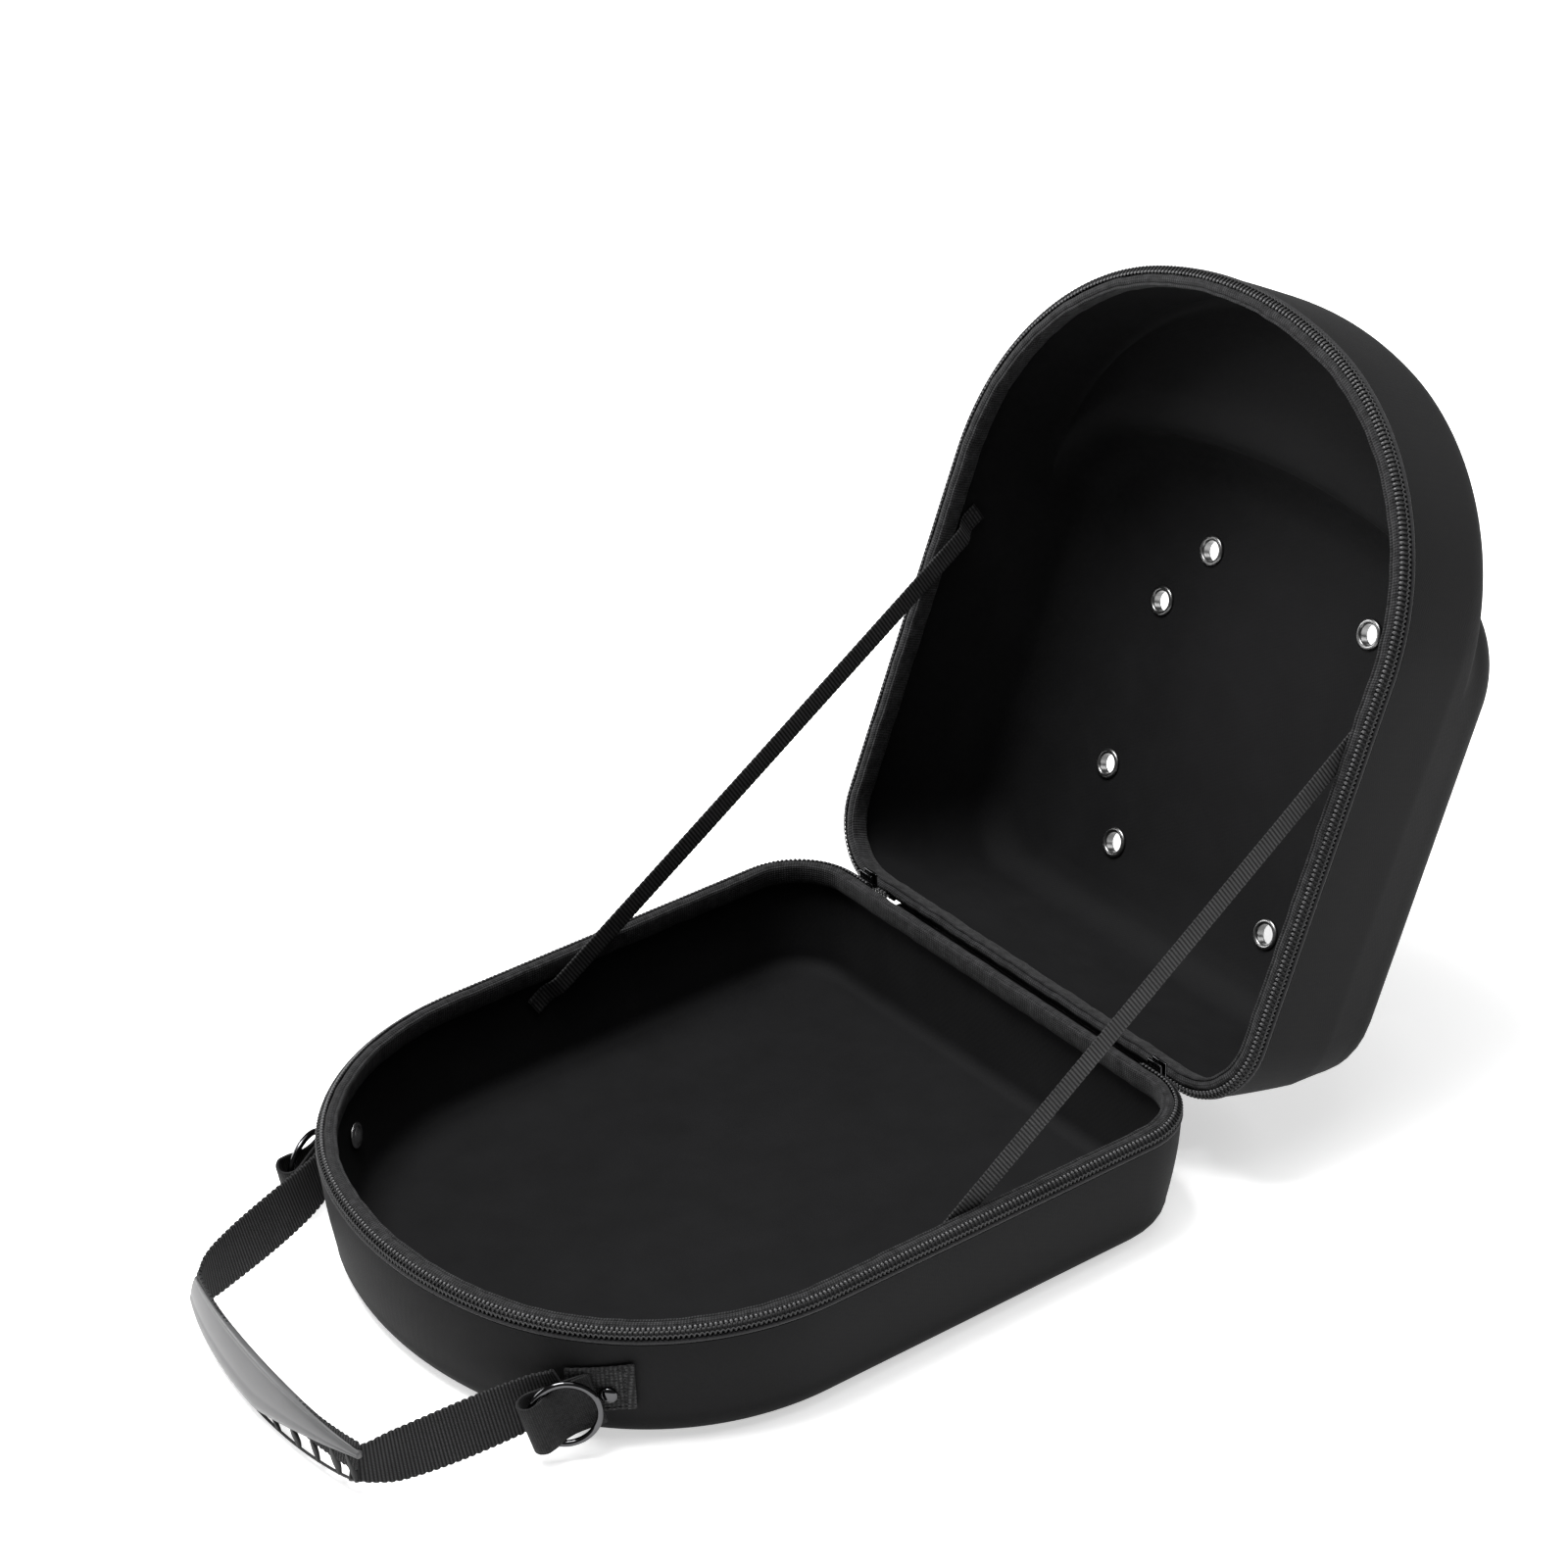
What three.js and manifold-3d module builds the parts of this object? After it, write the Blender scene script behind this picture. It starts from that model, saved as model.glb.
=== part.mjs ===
// A moulded carrier case for baseball caps, shown open and empty.
// A shallow tray and a deep, stepped lid are joined by a cloth hinge and held open by two stay straps.
// Millimetres, +Z up. The origin is the middle of the tray's underside, and the arched end points along -Y.
import * as THREE from 'three';
import { mergeVertices } from 'three/addons/utils/BufferGeometryUtils.js';
import Module from 'manifold-3d';

// Plan of the case
const CASE_WIDTH = 290;
const CASE_LENGTH = 338;
const ARCH_RADIUS = 188;
const SHOULDER_RADIUS = 126;
const HINGE_CORNER_RADIUS = 36;
const CORNER_SHRINK = 0.3;

// Moulded shells. The lid's wall is thinner because the same sheet is drawn deeper.
const TRAY_WALL = 4.5;
const LID_WALL = 3.2;
const TRAY_HEIGHT = 60;
const TRAY_TAPER = 4.5;
const TRAY_EDGE_ROUND = 12;
const LID_DEPTH = 95;
const LID_SHALLOW_DEPTH = 61;
const LID_TAPER = 7.5;
const LID_EDGE_ROUND = 25;
const LID_ARCH_ROUND = 10;
const STEP_FROM_ARCH = 79;
const STEP_SHOULDER_RADIUS = 50;
const STEP_CROWN_RADIUS = 380;
const STEP_FOOT = 12;

// Rim: binding, zip and cloth hinge
const RIM_BAND = 7;
const BINDING_WIDTH = 8.8;
const BINDING_DROP = 10;
const ZIP_WIDTH = 2.4;
const ZIP_BULGE = 0.6;
const ZIP_END_FROM_CORNER = 12;
const HINGE_STRIP_THICKNESS = 1.2;
const HINGE_STRIP_SEAM = 11;
const HINGE_DROP = 9.7;
const HINGE_SETBACK = 0.5;
const LID_ANGLE = 113;

// Vent eyelets, placed from the case's centre line and from its middle across
const EYELET_HOLE_RADIUS = 4.6;
const EYELET_BARREL = 0.7;
const EYELET_FLANGE_RADIUS = 7.4;
const EYELET_FLANGE = 1.3;
const EYELETS = [
  { name: 'arch_inner', side: 53.2, along: -31.7 },
  { name: 'arch_outer', side: 73, along: 1.2 },
  { name: 'hinge_outer', side: 73, along: 84.7 },
  { name: 'hinge_inner', side: 53.2, along: 117.2 },
];

// Webbing, loops and rings of the carrying handle
const WEBBING_WIDTH = 25;
const WEBBING_THICKNESS = 1.8;
const PATCH_BEHIND_RIVET = 11;
const PATCH_AHEAD_OF_RIVET = 18;
const PATCH_SLOPE = 0.2;
const RIVET_HEIGHT = 28;
const RIVET_HEAD_RADIUS = 4.6;
const RIVET_HEAD_HEIGHT = 2.6;
const RIVET_SHANK_RADIUS = 1.5;
const LOOP_THICKNESS = 1.5;
const LOOP_REACH = 36;
const LOOP_BEND_RADIUS = 5.5;
const RING_WIRE_RADIUS = 1.5;
const RING_HOLE_RADIUS = 13.8;
const GRIP_WIDTH = 27;
const GRIP_THICKNESS = 7;
const GRIP_HEIGHT = 14.5;

// Stay straps inside the case
const STAY_WIDTH = 11;
const STAY_THICKNESS = 1;
const STAY_TAIL = 5;
const STAY_WALL_RUN = 3;

const FIT_GAP = 0.3;
// The flat facets of a round wall stand up to this far inside its true arc.
const FACET_CLEAR = 0.4;
const HALF_WIDTH = CASE_WIDTH / 2;
const HALF_LENGTH = CASE_LENGTH / 2;
const DEGREE = Math.PI / 180;
const BASE_CENTRE_SHARE = 0.45;

// Steps along one half of an outline
const APEX_STEPS = 3;
const SHOULDER_STEPS = 9;
const SIDE_STEPS = 3;
const CORNER_STEPS = 4;
const END_STEPS = 2;

const wasm = await Module();
wasm.setup();

// Sides of the case: sign is the side's X direction. The anchor's turn is its angle round the shoulder arc,
// and the stay strap's two ends are given from the middle of the case's length.
const SIDES = [
  {
    name: 'right', sign: 1, turn: 45.5, stayOnTray: 35, stayOnLid: -2,
    gripEnd: { side: 68, beyond: 58 }, lean: 20, bow: { side: -14, beyond: 11 },
  },
  {
    name: 'left', sign: -1, turn: 36.5, stayOnTray: 39, stayOnLid: 19,
    gripEnd: { side: 78, beyond: 48 }, lean: -15, bow: { side: -11, beyond: 19 },
  },
];
const GRIP_BOW = [
  { side: 30, beyond: 67 },
  { side: -38, beyond: 62 },
];

// The rim's outline as a set of tangent arcs and straights, which every section of a shell varies.
function rimShape(inset) {
  return {
    half: HALF_WIDTH - inset,
    arch: -HALF_LENGTH + inset,
    hinge: HALF_LENGTH - inset,
    archRadius: ARCH_RADIUS - inset,
    shoulderRadius: SHOULDER_RADIUS - inset,
    cornerRadius: HINGE_CORNER_RADIUS - inset,
  };
}

// A section of a moulded wall, whose hinge corners stay rounder than an even offset would make them.
function mouldShape(inset) {
  return { ...rimShape(inset), cornerRadius: HINGE_CORNER_RADIUS - inset * CORNER_SHRINK };
}

// Where the shoulder arc of a shape has its centre, and the angle at which it meets the arch's arc.
function shoulderOf(shape) {
  const reach = shape.archRadius - shape.shoulderRadius;
  const x = shape.half - shape.shoulderRadius;
  const y = shape.arch + shape.archRadius - Math.sqrt(reach * reach - x * x);
  return { x, y, meet: -Math.acos(x / reach) };
}

// Points on the +X half of an outline, from the arch's apex to the middle of the hinge end.
function halfOutline(shape) {
  const shoulder = shoulderOf(shape);
  const archCentre = shape.arch + shape.archRadius;
  const cornerX = shape.half - shape.cornerRadius;
  const cornerY = shape.hinge - shape.cornerRadius;
  const points = [];
  for (let i = 0; i < APEX_STEPS; i += 1) {
    const angle = -Math.PI / 2 + (shoulder.meet + Math.PI / 2) * (i / APEX_STEPS);
    points.push([shape.archRadius * Math.cos(angle), archCentre + shape.archRadius * Math.sin(angle)]);
  }
  for (let i = 0; i < SHOULDER_STEPS; i += 1) {
    const angle = shoulder.meet * (1 - i / SHOULDER_STEPS);
    points.push([
      shoulder.x + shape.shoulderRadius * Math.cos(angle),
      shoulder.y + shape.shoulderRadius * Math.sin(angle),
    ]);
  }
  for (let i = 0; i < SIDE_STEPS; i += 1) {
    points.push([shape.half, shoulder.y + (cornerY - shoulder.y) * (i / SIDE_STEPS)]);
  }
  for (let i = 0; i < CORNER_STEPS; i += 1) {
    const angle = (Math.PI / 2) * (i / CORNER_STEPS);
    points.push([cornerX + shape.cornerRadius * Math.cos(angle), cornerY + shape.cornerRadius * Math.sin(angle)]);
  }
  for (let i = 0; i <= END_STEPS; i += 1) {
    points.push([cornerX * (1 - i / END_STEPS), shape.hinge]);
  }
  return points;
}

// The whole outline, counter-clockwise from above, starting at the arch's apex.
function outline(shape) {
  const half = halfOutline(shape);
  const mirrored = half.slice(1, -1).reverse().map(([x, y]) => [-x, y]);
  return half.concat(mirrored);
}

// Builds a closed mesh and turns its faces outwards.
function closedMesh(positions, triangles) {
  let volume = 0;
  for (const [a, b, c] of triangles) {
    volume += positions[a].dot(positions[b].clone().cross(positions[c]));
  }
  const ordered = volume > 0 ? triangles : triangles.map(([a, b, c]) => [a, c, b]);
  const geometry = new THREE.BufferGeometry();
  geometry.setAttribute('position', new THREE.Float32BufferAttribute(positions.flatMap((p) => p.toArray()), 3));
  geometry.setIndex(ordered.flat());
  return geometry;
}

// Skins a row of sections with equal counts of points. A ring of sections closes on itself, any other is
// capped with the triangles of its flat profile.
function skin(sections, isRing, profile) {
  const count = sections[0].length;
  const positions = sections.flat();
  const triangles = [];
  const spans = isRing ? sections.length : sections.length - 1;
  for (let i = 0; i < spans; i += 1) {
    const here = i * count;
    const next = ((i + 1) % sections.length) * count;
    for (let j = 0; j < count; j += 1) {
      const k = (j + 1) % count;
      triangles.push([here + j, next + j, next + k], [here + j, next + k, here + k]);
    }
  }
  if (!isRing) {
    const faces = THREE.ShapeUtils.triangulateShape(profile.map(([x, y]) => new THREE.Vector2(x, y)), []);
    const last = (sections.length - 1) * count;
    const forward = THREE.ShapeUtils.area(profile.map(([x, y]) => new THREE.Vector2(x, y))) > 0;
    for (const [a, b, c] of faces) {
      triangles.push(forward ? [a, b, c] : [a, c, b]);
      triangles.push(forward ? [last + a, last + c, last + b] : [last + a, last + b, last + c]);
    }
  }
  return closedMesh(positions, triangles);
}

// A cup of even wall from its outer sections, listed from the rim to the middle of its face.
function cup(sections, wall) {
  const rings = sections.map((s) => outline(s.shape).map(([x, y]) => new THREE.Vector3(x, y, -s.depth)));
  const count = rings[0].length;
  const lastDepth = sections[sections.length - 1].depth;
  const outer = rings.flat();
  outer.push(new THREE.Vector3(0, 0, -lastDepth));
  const centre = outer.length - 1;
  const skinTriangles = [];
  for (let i = 0; i < rings.length - 1; i += 1) {
    for (let j = 0; j < count; j += 1) {
      const k = (j + 1) % count;
      const here = i * count;
      const next = here + count;
      skinTriangles.push([here + j, next + j, next + k], [here + j, next + k, here + k]);
    }
  }
  const inmost = (rings.length - 1) * count;
  for (let j = 0; j < count; j += 1) {
    skinTriangles.push([inmost + j, centre, inmost + ((j + 1) % count)]);
  }
  const normals = outwardNormals(outer, skinTriangles);
  const inner = outer.map((point, i) => {
    const normal = normals[i];
    if (i < count) {
      normal.setZ(0).normalize();
    }
    return point.clone().addScaledVector(normal, -wall);
  });
  const shift = outer.length;
  const triangles = skinTriangles.concat(skinTriangles.map(([a, b, c]) => [a + shift, c + shift, b + shift]));
  for (let j = 0; j < count; j += 1) {
    const k = (j + 1) % count;
    triangles.push([j, k, k + shift], [j, k + shift, j + shift]);
  }
  return closedMesh(outer.concat(inner), triangles);
}

// Vertex normals of an open skin whose faces wind so that they point out of the cup.
function outwardNormals(points, triangles) {
  const normals = points.map(() => new THREE.Vector3());
  for (const [a, b, c] of triangles) {
    const face = points[b].clone().sub(points[a]).cross(points[c].clone().sub(points[a]));
    for (const i of [a, b, c]) {
      normals[i].add(face);
    }
  }
  const middle = new THREE.Vector3(0, 0, 0);
  const outwards = normals[0].dot(points[0].clone().sub(middle)) > 0 ? 1 : -1;
  return normals.map((n) => n.multiplyScalar(outwards).normalize());
}

// Boolean work on closed meshes
function toSolid(geometry) {
  const bare = geometry.clone();
  bare.deleteAttribute('normal');
  bare.deleteAttribute('uv');
  const merged = mergeVertices(bare);
  return new wasm.Manifold(new wasm.Mesh({
    numProp: 3,
    vertProperties: new Float32Array(merged.attributes.position.array),
    triVerts: new Uint32Array(merged.index.array),
  }));
}

function toGeometry(solid) {
  const mesh = solid.getMesh();
  const geometry = new THREE.BufferGeometry();
  geometry.setAttribute('position', new THREE.Float32BufferAttribute(mesh.vertProperties, 3));
  geometry.setIndex(Array.from(mesh.triVerts));
  return geometry;
}

function cutAway(geometry, cutters) {
  let solid = toSolid(geometry);
  for (const cutter of cutters) {
    solid = solid.subtract(toSolid(cutter));
  }
  return toGeometry(solid);
}

// Mirrors a geometry made for the +X side to the other side.
function toSide(geometry, sign) {
  if (sign > 0) {
    return geometry;
  }
  const mirrored = geometry.clone();
  mirrored.scale(-1, 1, 1);
  const index = Array.from(mirrored.index.array);
  for (let i = 0; i < index.length; i += 3) {
    [index[i + 1], index[i + 2]] = [index[i + 2], index[i + 1]];
  }
  mirrored.setIndex(index);
  return mirrored;
}

// Tray shell: a near-upright wall, a rounded lower edge and a flat base.
const TRAY_WALL_ROWS = [
  { down: 0, taper: 0 },
  { down: 0.35, taper: 0.2 },
  { down: 1, taper: 1 },
];
const TRAY_ROUND_STEPS = 4;

function trayInset(depth) {
  const wallDepth = TRAY_HEIGHT - RIM_BAND - TRAY_EDGE_ROUND;
  const share = (depth - RIM_BAND) / wallDepth;
  const [, knee] = TRAY_WALL_ROWS;
  if (share < knee.down) {
    return TRAY_TAPER * knee.taper * (share / knee.down);
  }
  return TRAY_TAPER * (knee.taper + (1 - knee.taper) * ((share - knee.down) / (1 - knee.down)));
}

function traySections() {
  const wallDepth = TRAY_HEIGHT - RIM_BAND - TRAY_EDGE_ROUND;
  const sections = TRAY_WALL_ROWS.map((row) => ({
    depth: RIM_BAND + wallDepth * row.down,
    shape: mouldShape(TRAY_TAPER * row.taper),
  }));
  for (let i = 1; i <= TRAY_ROUND_STEPS; i += 1) {
    const angle = (Math.PI / 2) * (i / TRAY_ROUND_STEPS);
    sections.push({
      depth: TRAY_HEIGHT - TRAY_EDGE_ROUND * (1 - Math.sin(angle)),
      shape: mouldShape(TRAY_TAPER + TRAY_EDGE_ROUND * (1 - Math.cos(angle))),
    });
  }
  sections.push({ depth: TRAY_HEIGHT, shape: shrunk(sections[sections.length - 1].shape, BASE_CENTRE_SHARE) });
  return sections;
}

function shrunk(shape, share) {
  const small = {};
  for (const key of Object.keys(shape)) {
    small[key] = shape[key] * share;
  }
  return small;
}

// Lid shell: full width all the way down, but its arched end stops at a shallower shelf.
// Depth is a share of the wall above the arch's rounding, and taper a share of LID_TAPER.
const LID_WALL_ROWS = [
  { down: 0, taper: 0 },
  { down: 0.3, taper: 0.12 },
  { down: 1, taper: 0.5 },
];
const LID_ARCH_ROUND_STEPS = 4;
const LID_EDGE_ROUND_STEPS = 4;
// The step's hollow foot: rise is a share of the upright part, reach a share of STEP_FOOT.
const STEP_FOOT_ROWS = [
  { rise: 0, reach: 1 },
  { rise: 0.1, reach: 0.55 },
  { rise: 0.4, reach: 0.2 },
  { rise: 1, reach: 0 },
];

function lidShape(sideInset, archInset, archRadius, shoulderRadius) {
  const base = mouldShape(sideInset);
  return { ...base, arch: -HALF_LENGTH + archInset, archRadius, shoulderRadius };
}

function lidInset(depth) {
  const wallDepth = LID_SHALLOW_DEPTH - LID_ARCH_ROUND - RIM_BAND;
  const share = (depth - RIM_BAND) / wallDepth;
  const [, knee, foot] = LID_WALL_ROWS;
  if (share < knee.down) {
    return LID_TAPER * knee.taper * (share / knee.down);
  }
  const along = (share - knee.down) / (foot.down - knee.down);
  return LID_TAPER * (knee.taper + (foot.taper - knee.taper) * along);
}

function lidSections() {
  const sections = [];
  const wallDepth = LID_SHALLOW_DEPTH - LID_ARCH_ROUND - RIM_BAND;
  for (const row of LID_WALL_ROWS) {
    sections.push({ depth: RIM_BAND + wallDepth * row.down, shape: mouldShape(LID_TAPER * row.taper) });
  }
  const wallEnd = LID_WALL_ROWS[LID_WALL_ROWS.length - 1].taper * LID_TAPER;
  const uprightEnd = LID_DEPTH - LID_EDGE_ROUND;
  const taperAt = (depth) => {
    const from = LID_SHALLOW_DEPTH - LID_ARCH_ROUND;
    return wallEnd + (LID_TAPER - wallEnd) * ((depth - from) / (uprightEnd - from));
  };
  for (let i = 1; i <= LID_ARCH_ROUND_STEPS; i += 1) {
    const angle = (Math.PI / 2) * (i / LID_ARCH_ROUND_STEPS);
    const depth = LID_SHALLOW_DEPTH - LID_ARCH_ROUND * (1 - Math.sin(angle));
    const arch = wallEnd + LID_ARCH_ROUND * (1 - Math.cos(angle));
    const shoulder = SHOULDER_RADIUS - (arch + taperAt(depth)) / 2;
    sections.push({ depth, shape: lidShape(taperAt(depth), arch, ARCH_RADIUS - arch, shoulder) });
  }
  for (const row of STEP_FOOT_ROWS) {
    const depth = LID_SHALLOW_DEPTH + (uprightEnd - LID_SHALLOW_DEPTH) * row.rise;
    const back = STEP_FOOT * row.reach;
    sections.push({
      depth,
      shape: lidShape(taperAt(depth), STEP_FROM_ARCH - back, STEP_CROWN_RADIUS + back, STEP_SHOULDER_RADIUS + back),
    });
  }
  for (let i = 1; i <= LID_EDGE_ROUND_STEPS; i += 1) {
    const angle = (Math.PI / 2) * (i / LID_EDGE_ROUND_STEPS);
    const inset = LID_EDGE_ROUND * (1 - Math.cos(angle));
    sections.push({
      depth: LID_DEPTH - LID_EDGE_ROUND * (1 - Math.sin(angle)),
      shape: lidShape(LID_TAPER + inset, STEP_FROM_ARCH + inset, STEP_CROWN_RADIUS - inset, STEP_SHOULDER_RADIUS - inset),
    });
  }
  return sections;
}

// Rim bands: a profile of [inset, depth] points carried round the outline.
function bandSections(profile, indices) {
  const lines = profile.map(([inset, depth]) => outline(rimShape(inset)).map(([x, y]) => new THREE.Vector3(x, y, -depth)));
  return indices.map((i) => lines.map((line) => line[i]));
}

const OUTLINE_COUNT = outline(rimShape(0)).length;
const HALF_COUNT = APEX_STEPS + SHOULDER_STEPS + SIDE_STEPS + CORNER_STEPS;

function bindingGeometry(wall) {
  const top = RIM_BAND - FIT_GAP;
  const inside = wall + 3 * FIT_GAP;
  const outside = ZIP_WIDTH + FIT_GAP;
  const profile = [
    [outside, top],
    [outside, 0.8],
    [outside + 1, 0],
    [BINDING_WIDTH - 1.2, 0],
    [BINDING_WIDTH, 1.4],
    [BINDING_WIDTH, RIM_BAND - 1.5],
    [BINDING_WIDTH - 2, BINDING_DROP],
    [inside, BINDING_DROP],
    [inside, top],
  ];
  const all = Array.from({ length: OUTLINE_COUNT }, (_, i) => i);
  return skin(bandSections(profile, all), true);
}

// The zip's half runs from one hinge corner round the arch to the other.
function zipGeometry() {
  const top = RIM_BAND - FIT_GAP;
  const profile = [
    [0.2, top],
    [0.2, RIM_BAND * 0.55],
    [-ZIP_BULGE, RIM_BAND * 0.36],
    [-ZIP_BULGE, RIM_BAND * 0.2],
    [ZIP_BULGE, 0.3],
    [ZIP_WIDTH, 0.6],
    [ZIP_WIDTH, top],
  ];
  const indices = [];
  for (let i = -HALF_COUNT; i <= HALF_COUNT; i += 1) {
    indices.push((i + OUTLINE_COUNT) % OUTLINE_COUNT);
  }
  const sections = bandSections(profile, indices);
  const stop = (section, sign) => section.map((point) => point.clone().setX(point.x - sign * ZIP_END_FROM_CORNER));
  sections.unshift(stop(sections[0], -1));
  sections.push(stop(sections[sections.length - 1], 1));
  return skin(sections, false, profile);
}

// A ribbon of even thickness. Each station gives its middle, its width direction and its thickness direction.
function ribbon(stations, width, thickness) {
  const half = [width / 2, thickness / 2];
  const corners = [[-1, -1], [1, -1], [1, 1], [-1, 1]];
  const sections = stations.map((s) => corners.map(([a, b]) => s.middle.clone()
    .addScaledVector(s.across, a * half[0])
    .addScaledVector(s.through, b * half[1])));
  return skin(sections, false, corners);
}

// Stations of a ribbon on a path whose width stays close to a chosen direction.
function stationsAlong(points, acrossAt) {
  return points.map((middle, i) => {
    const before = points[Math.max(i - 1, 0)];
    const after = points[Math.min(i + 1, points.length - 1)];
    const along = after.clone().sub(before).normalize();
    const wanted = acrossAt(i / (points.length - 1));
    const across = wanted.clone().addScaledVector(along, -wanted.dot(along)).normalize();
    return { middle, across, through: along.clone().cross(across), along };
  });
}

// The anchor's frame on the +X side of the tray: t runs along the wall towards the arch, n points out of it.
function anchorFrame(turn) {
  const depth = TRAY_HEIGHT - RIVET_HEIGHT;
  const shape = rimShape(trayInset(depth));
  const shoulder = shoulderOf(shape);
  const at = (ahead, off, z) => {
    const angle = -turn * DEGREE - ahead / shape.shoulderRadius;
    const radius = shape.shoulderRadius + off;
    return new THREE.Vector3(shoulder.x + radius * Math.cos(angle), shoulder.y + radius * Math.sin(angle), z);
  };
  const foot = at(0, 0, RIVET_HEIGHT);
  const n = new THREE.Vector3(Math.cos(turn * DEGREE), -Math.sin(turn * DEGREE), 0);
  const t = new THREE.Vector3(n.y, -n.x, 0);
  return { at, foot, n, t };
}

// A cylinder along a direction, for holes.
function drill(middle, direction, radius, length) {
  const geometry = new THREE.CylinderGeometry(radius, radius, length, 12);
  geometry.applyQuaternion(new THREE.Quaternion().setFromUnitVectors(new THREE.Vector3(0, 1, 0), direction));
  geometry.translate(middle.x, middle.y, middle.z);
  return geometry;
}

const PATCH_STEPS = 5;
const PATCH_TOP_LIMIT = TRAY_HEIGHT - RIM_BAND - WEBBING_WIDTH / 2 - 1;

// Where the patch's webbing lies on the wall, at a distance ahead of the rivet.
function patchStation(frame, ahead) {
  const z = Math.min(RIVET_HEIGHT + 2 - PATCH_SLOPE * ahead, PATCH_TOP_LIMIT);
  const lean = wallLean();
  const middle = frame.at(ahead, 0, z);
  const through = middle.clone().sub(frame.at(ahead, -1, z));
  middle.addScaledVector(through, FIT_GAP + WEBBING_THICKNESS / 2 + (z - RIVET_HEIGHT) * lean);
  const across = new THREE.Vector3(0, 0, 1).addScaledVector(through, lean).normalize();
  return { middle, across, through };
}

function patchGeometry(frame) {
  const stations = [];
  for (let i = 0; i <= PATCH_STEPS; i += 1) {
    const share = i / PATCH_STEPS;
    stations.push(patchStation(frame, -PATCH_BEHIND_RIVET + (PATCH_BEHIND_RIVET + PATCH_AHEAD_OF_RIVET) * share));
  }
  return ribbon(stations, WEBBING_WIDTH, WEBBING_THICKNESS);
}

// How far the tray's wall moves outwards for each millimetre of height near the rivet.
function wallLean() {
  const low = trayInset(TRAY_HEIGHT - RIVET_HEIGHT + WEBBING_WIDTH / 2);
  const high = trayInset(TRAY_HEIGHT - RIVET_HEIGHT - WEBBING_WIDTH / 2);
  return (low - high) / WEBBING_WIDTH;
}

const STRAP_STEPS = 10;
const STRAP_EARLY_DROP = 0.8;
const STRAP_END_RUN = 14;
const GRIP_STEPS = 14;
const GRIP_LEAN = 12;

function gripEndPoint(side) {
  return new THREE.Vector3(side.sign * side.gripEnd.side, -HALF_LENGTH - side.gripEnd.beyond, GRIP_HEIGHT);
}

// Stations along the grip in the case's own frame, from its right end to its left end.
function gripStations() {
  const [start, end] = SIDES.map(gripEndPoint);
  const bows = GRIP_BOW.map((b) => new THREE.Vector3(b.side, -HALF_LENGTH - b.beyond, GRIP_HEIGHT));
  const points = new THREE.CubicBezierCurve3(start, bows[0], bows[1], end).getSpacedPoints(GRIP_STEPS);
  const across = new THREE.Vector3(0, Math.sin(GRIP_LEAN * DEGREE), Math.cos(GRIP_LEAN * DEGREE));
  return stationsAlong(points, () => across);
}

// The grip's end where a side's strap meets it, seen from the +X side, with the strap a gap away.
function strapEnd(side) {
  const stations = gripStations();
  const end = side.sign > 0 ? stations[0] : stations[GRIP_STEPS];
  const outwards = end.along.clone().multiplyScalar(-side.sign);
  const toRight = (v) => v.clone().setX(v.x * side.sign);
  const middle = toRight(end.middle.clone().addScaledVector(outwards, FIT_GAP));
  const away = toRight(outwards);
  const across = toRight(end.across);
  return { middle, across, through: across.clone().cross(away), outwards: away };
}

// The strap from its sewn end to the grip, made on the +X side and mirrored for the left.
function strapGeometry(side, frame) {
  const start = patchStation(frame, PATCH_AHEAD_OF_RIVET + FIT_GAP);
  const end = strapEnd(side);
  const drop = (GRIP_HEIGHT - start.middle.z) * STRAP_EARLY_DROP;
  const bow = start.middle.clone().add(new THREE.Vector3(side.bow.side, -side.bow.beyond, drop));
  const turn = end.middle.clone().addScaledVector(end.outwards, STRAP_END_RUN);
  const points = new THREE.CubicBezierCurve3(start.middle, bow, turn, end.middle).getSpacedPoints(STRAP_STEPS);
  const lean = side.lean * DEGREE;
  const stations = stationsAlong(points, (share) => {
    const angle = lean * Math.sin(Math.PI * Math.min(share * 1.1, 1));
    return new THREE.Vector3(-Math.sin(angle), 0, Math.cos(angle));
  });
  stations[0] = { ...start, through: start.through.clone().negate() };
  stations[STRAP_STEPS] = end;
  return ribbon(stations, WEBBING_WIDTH, WEBBING_THICKNESS);
}

// The grip's section, in halves of its width and thickness, and how it thins towards its ends.
const GRIP_PROFILE = [
  [-1, -0.45], [-0.8, -1], [0.8, -1], [1, -0.45], [1, 0.45], [0.8, 1], [-0.8, 1], [-1, 0.45],
];
const GRIP_END_SHARE = 0.55;

function gripGeometry() {
  const sections = gripStations().map((s, i) => {
    const swell = GRIP_END_SHARE + (1 - GRIP_END_SHARE) * Math.sin(Math.PI * (i / GRIP_STEPS)) ** 0.6;
    const width = (WEBBING_WIDTH + (GRIP_WIDTH - WEBBING_WIDTH) * swell) / 2;
    return GRIP_PROFILE.map(([a, b]) => s.middle.clone()
      .addScaledVector(s.across, a * width)
      .addScaledVector(s.through, b * (GRIP_THICKNESS / 2) * swell));
  });
  return skin(sections, false, GRIP_PROFILE);
}

// The tape loop's closed line in the anchor's plane: pinched at the rivet, round at its far end.
const LOOP_BACK_OFF = 2 * FIT_GAP + WEBBING_THICKNESS + LOOP_THICKNESS / 2;
const LOOP_TILT = 14;
const LOOP_SWING = 17;
const LOOP_BEND_STEPS = 6;
const LOOP_PINCH = RIVET_HEAD_RADIUS + 1.5;

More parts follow.
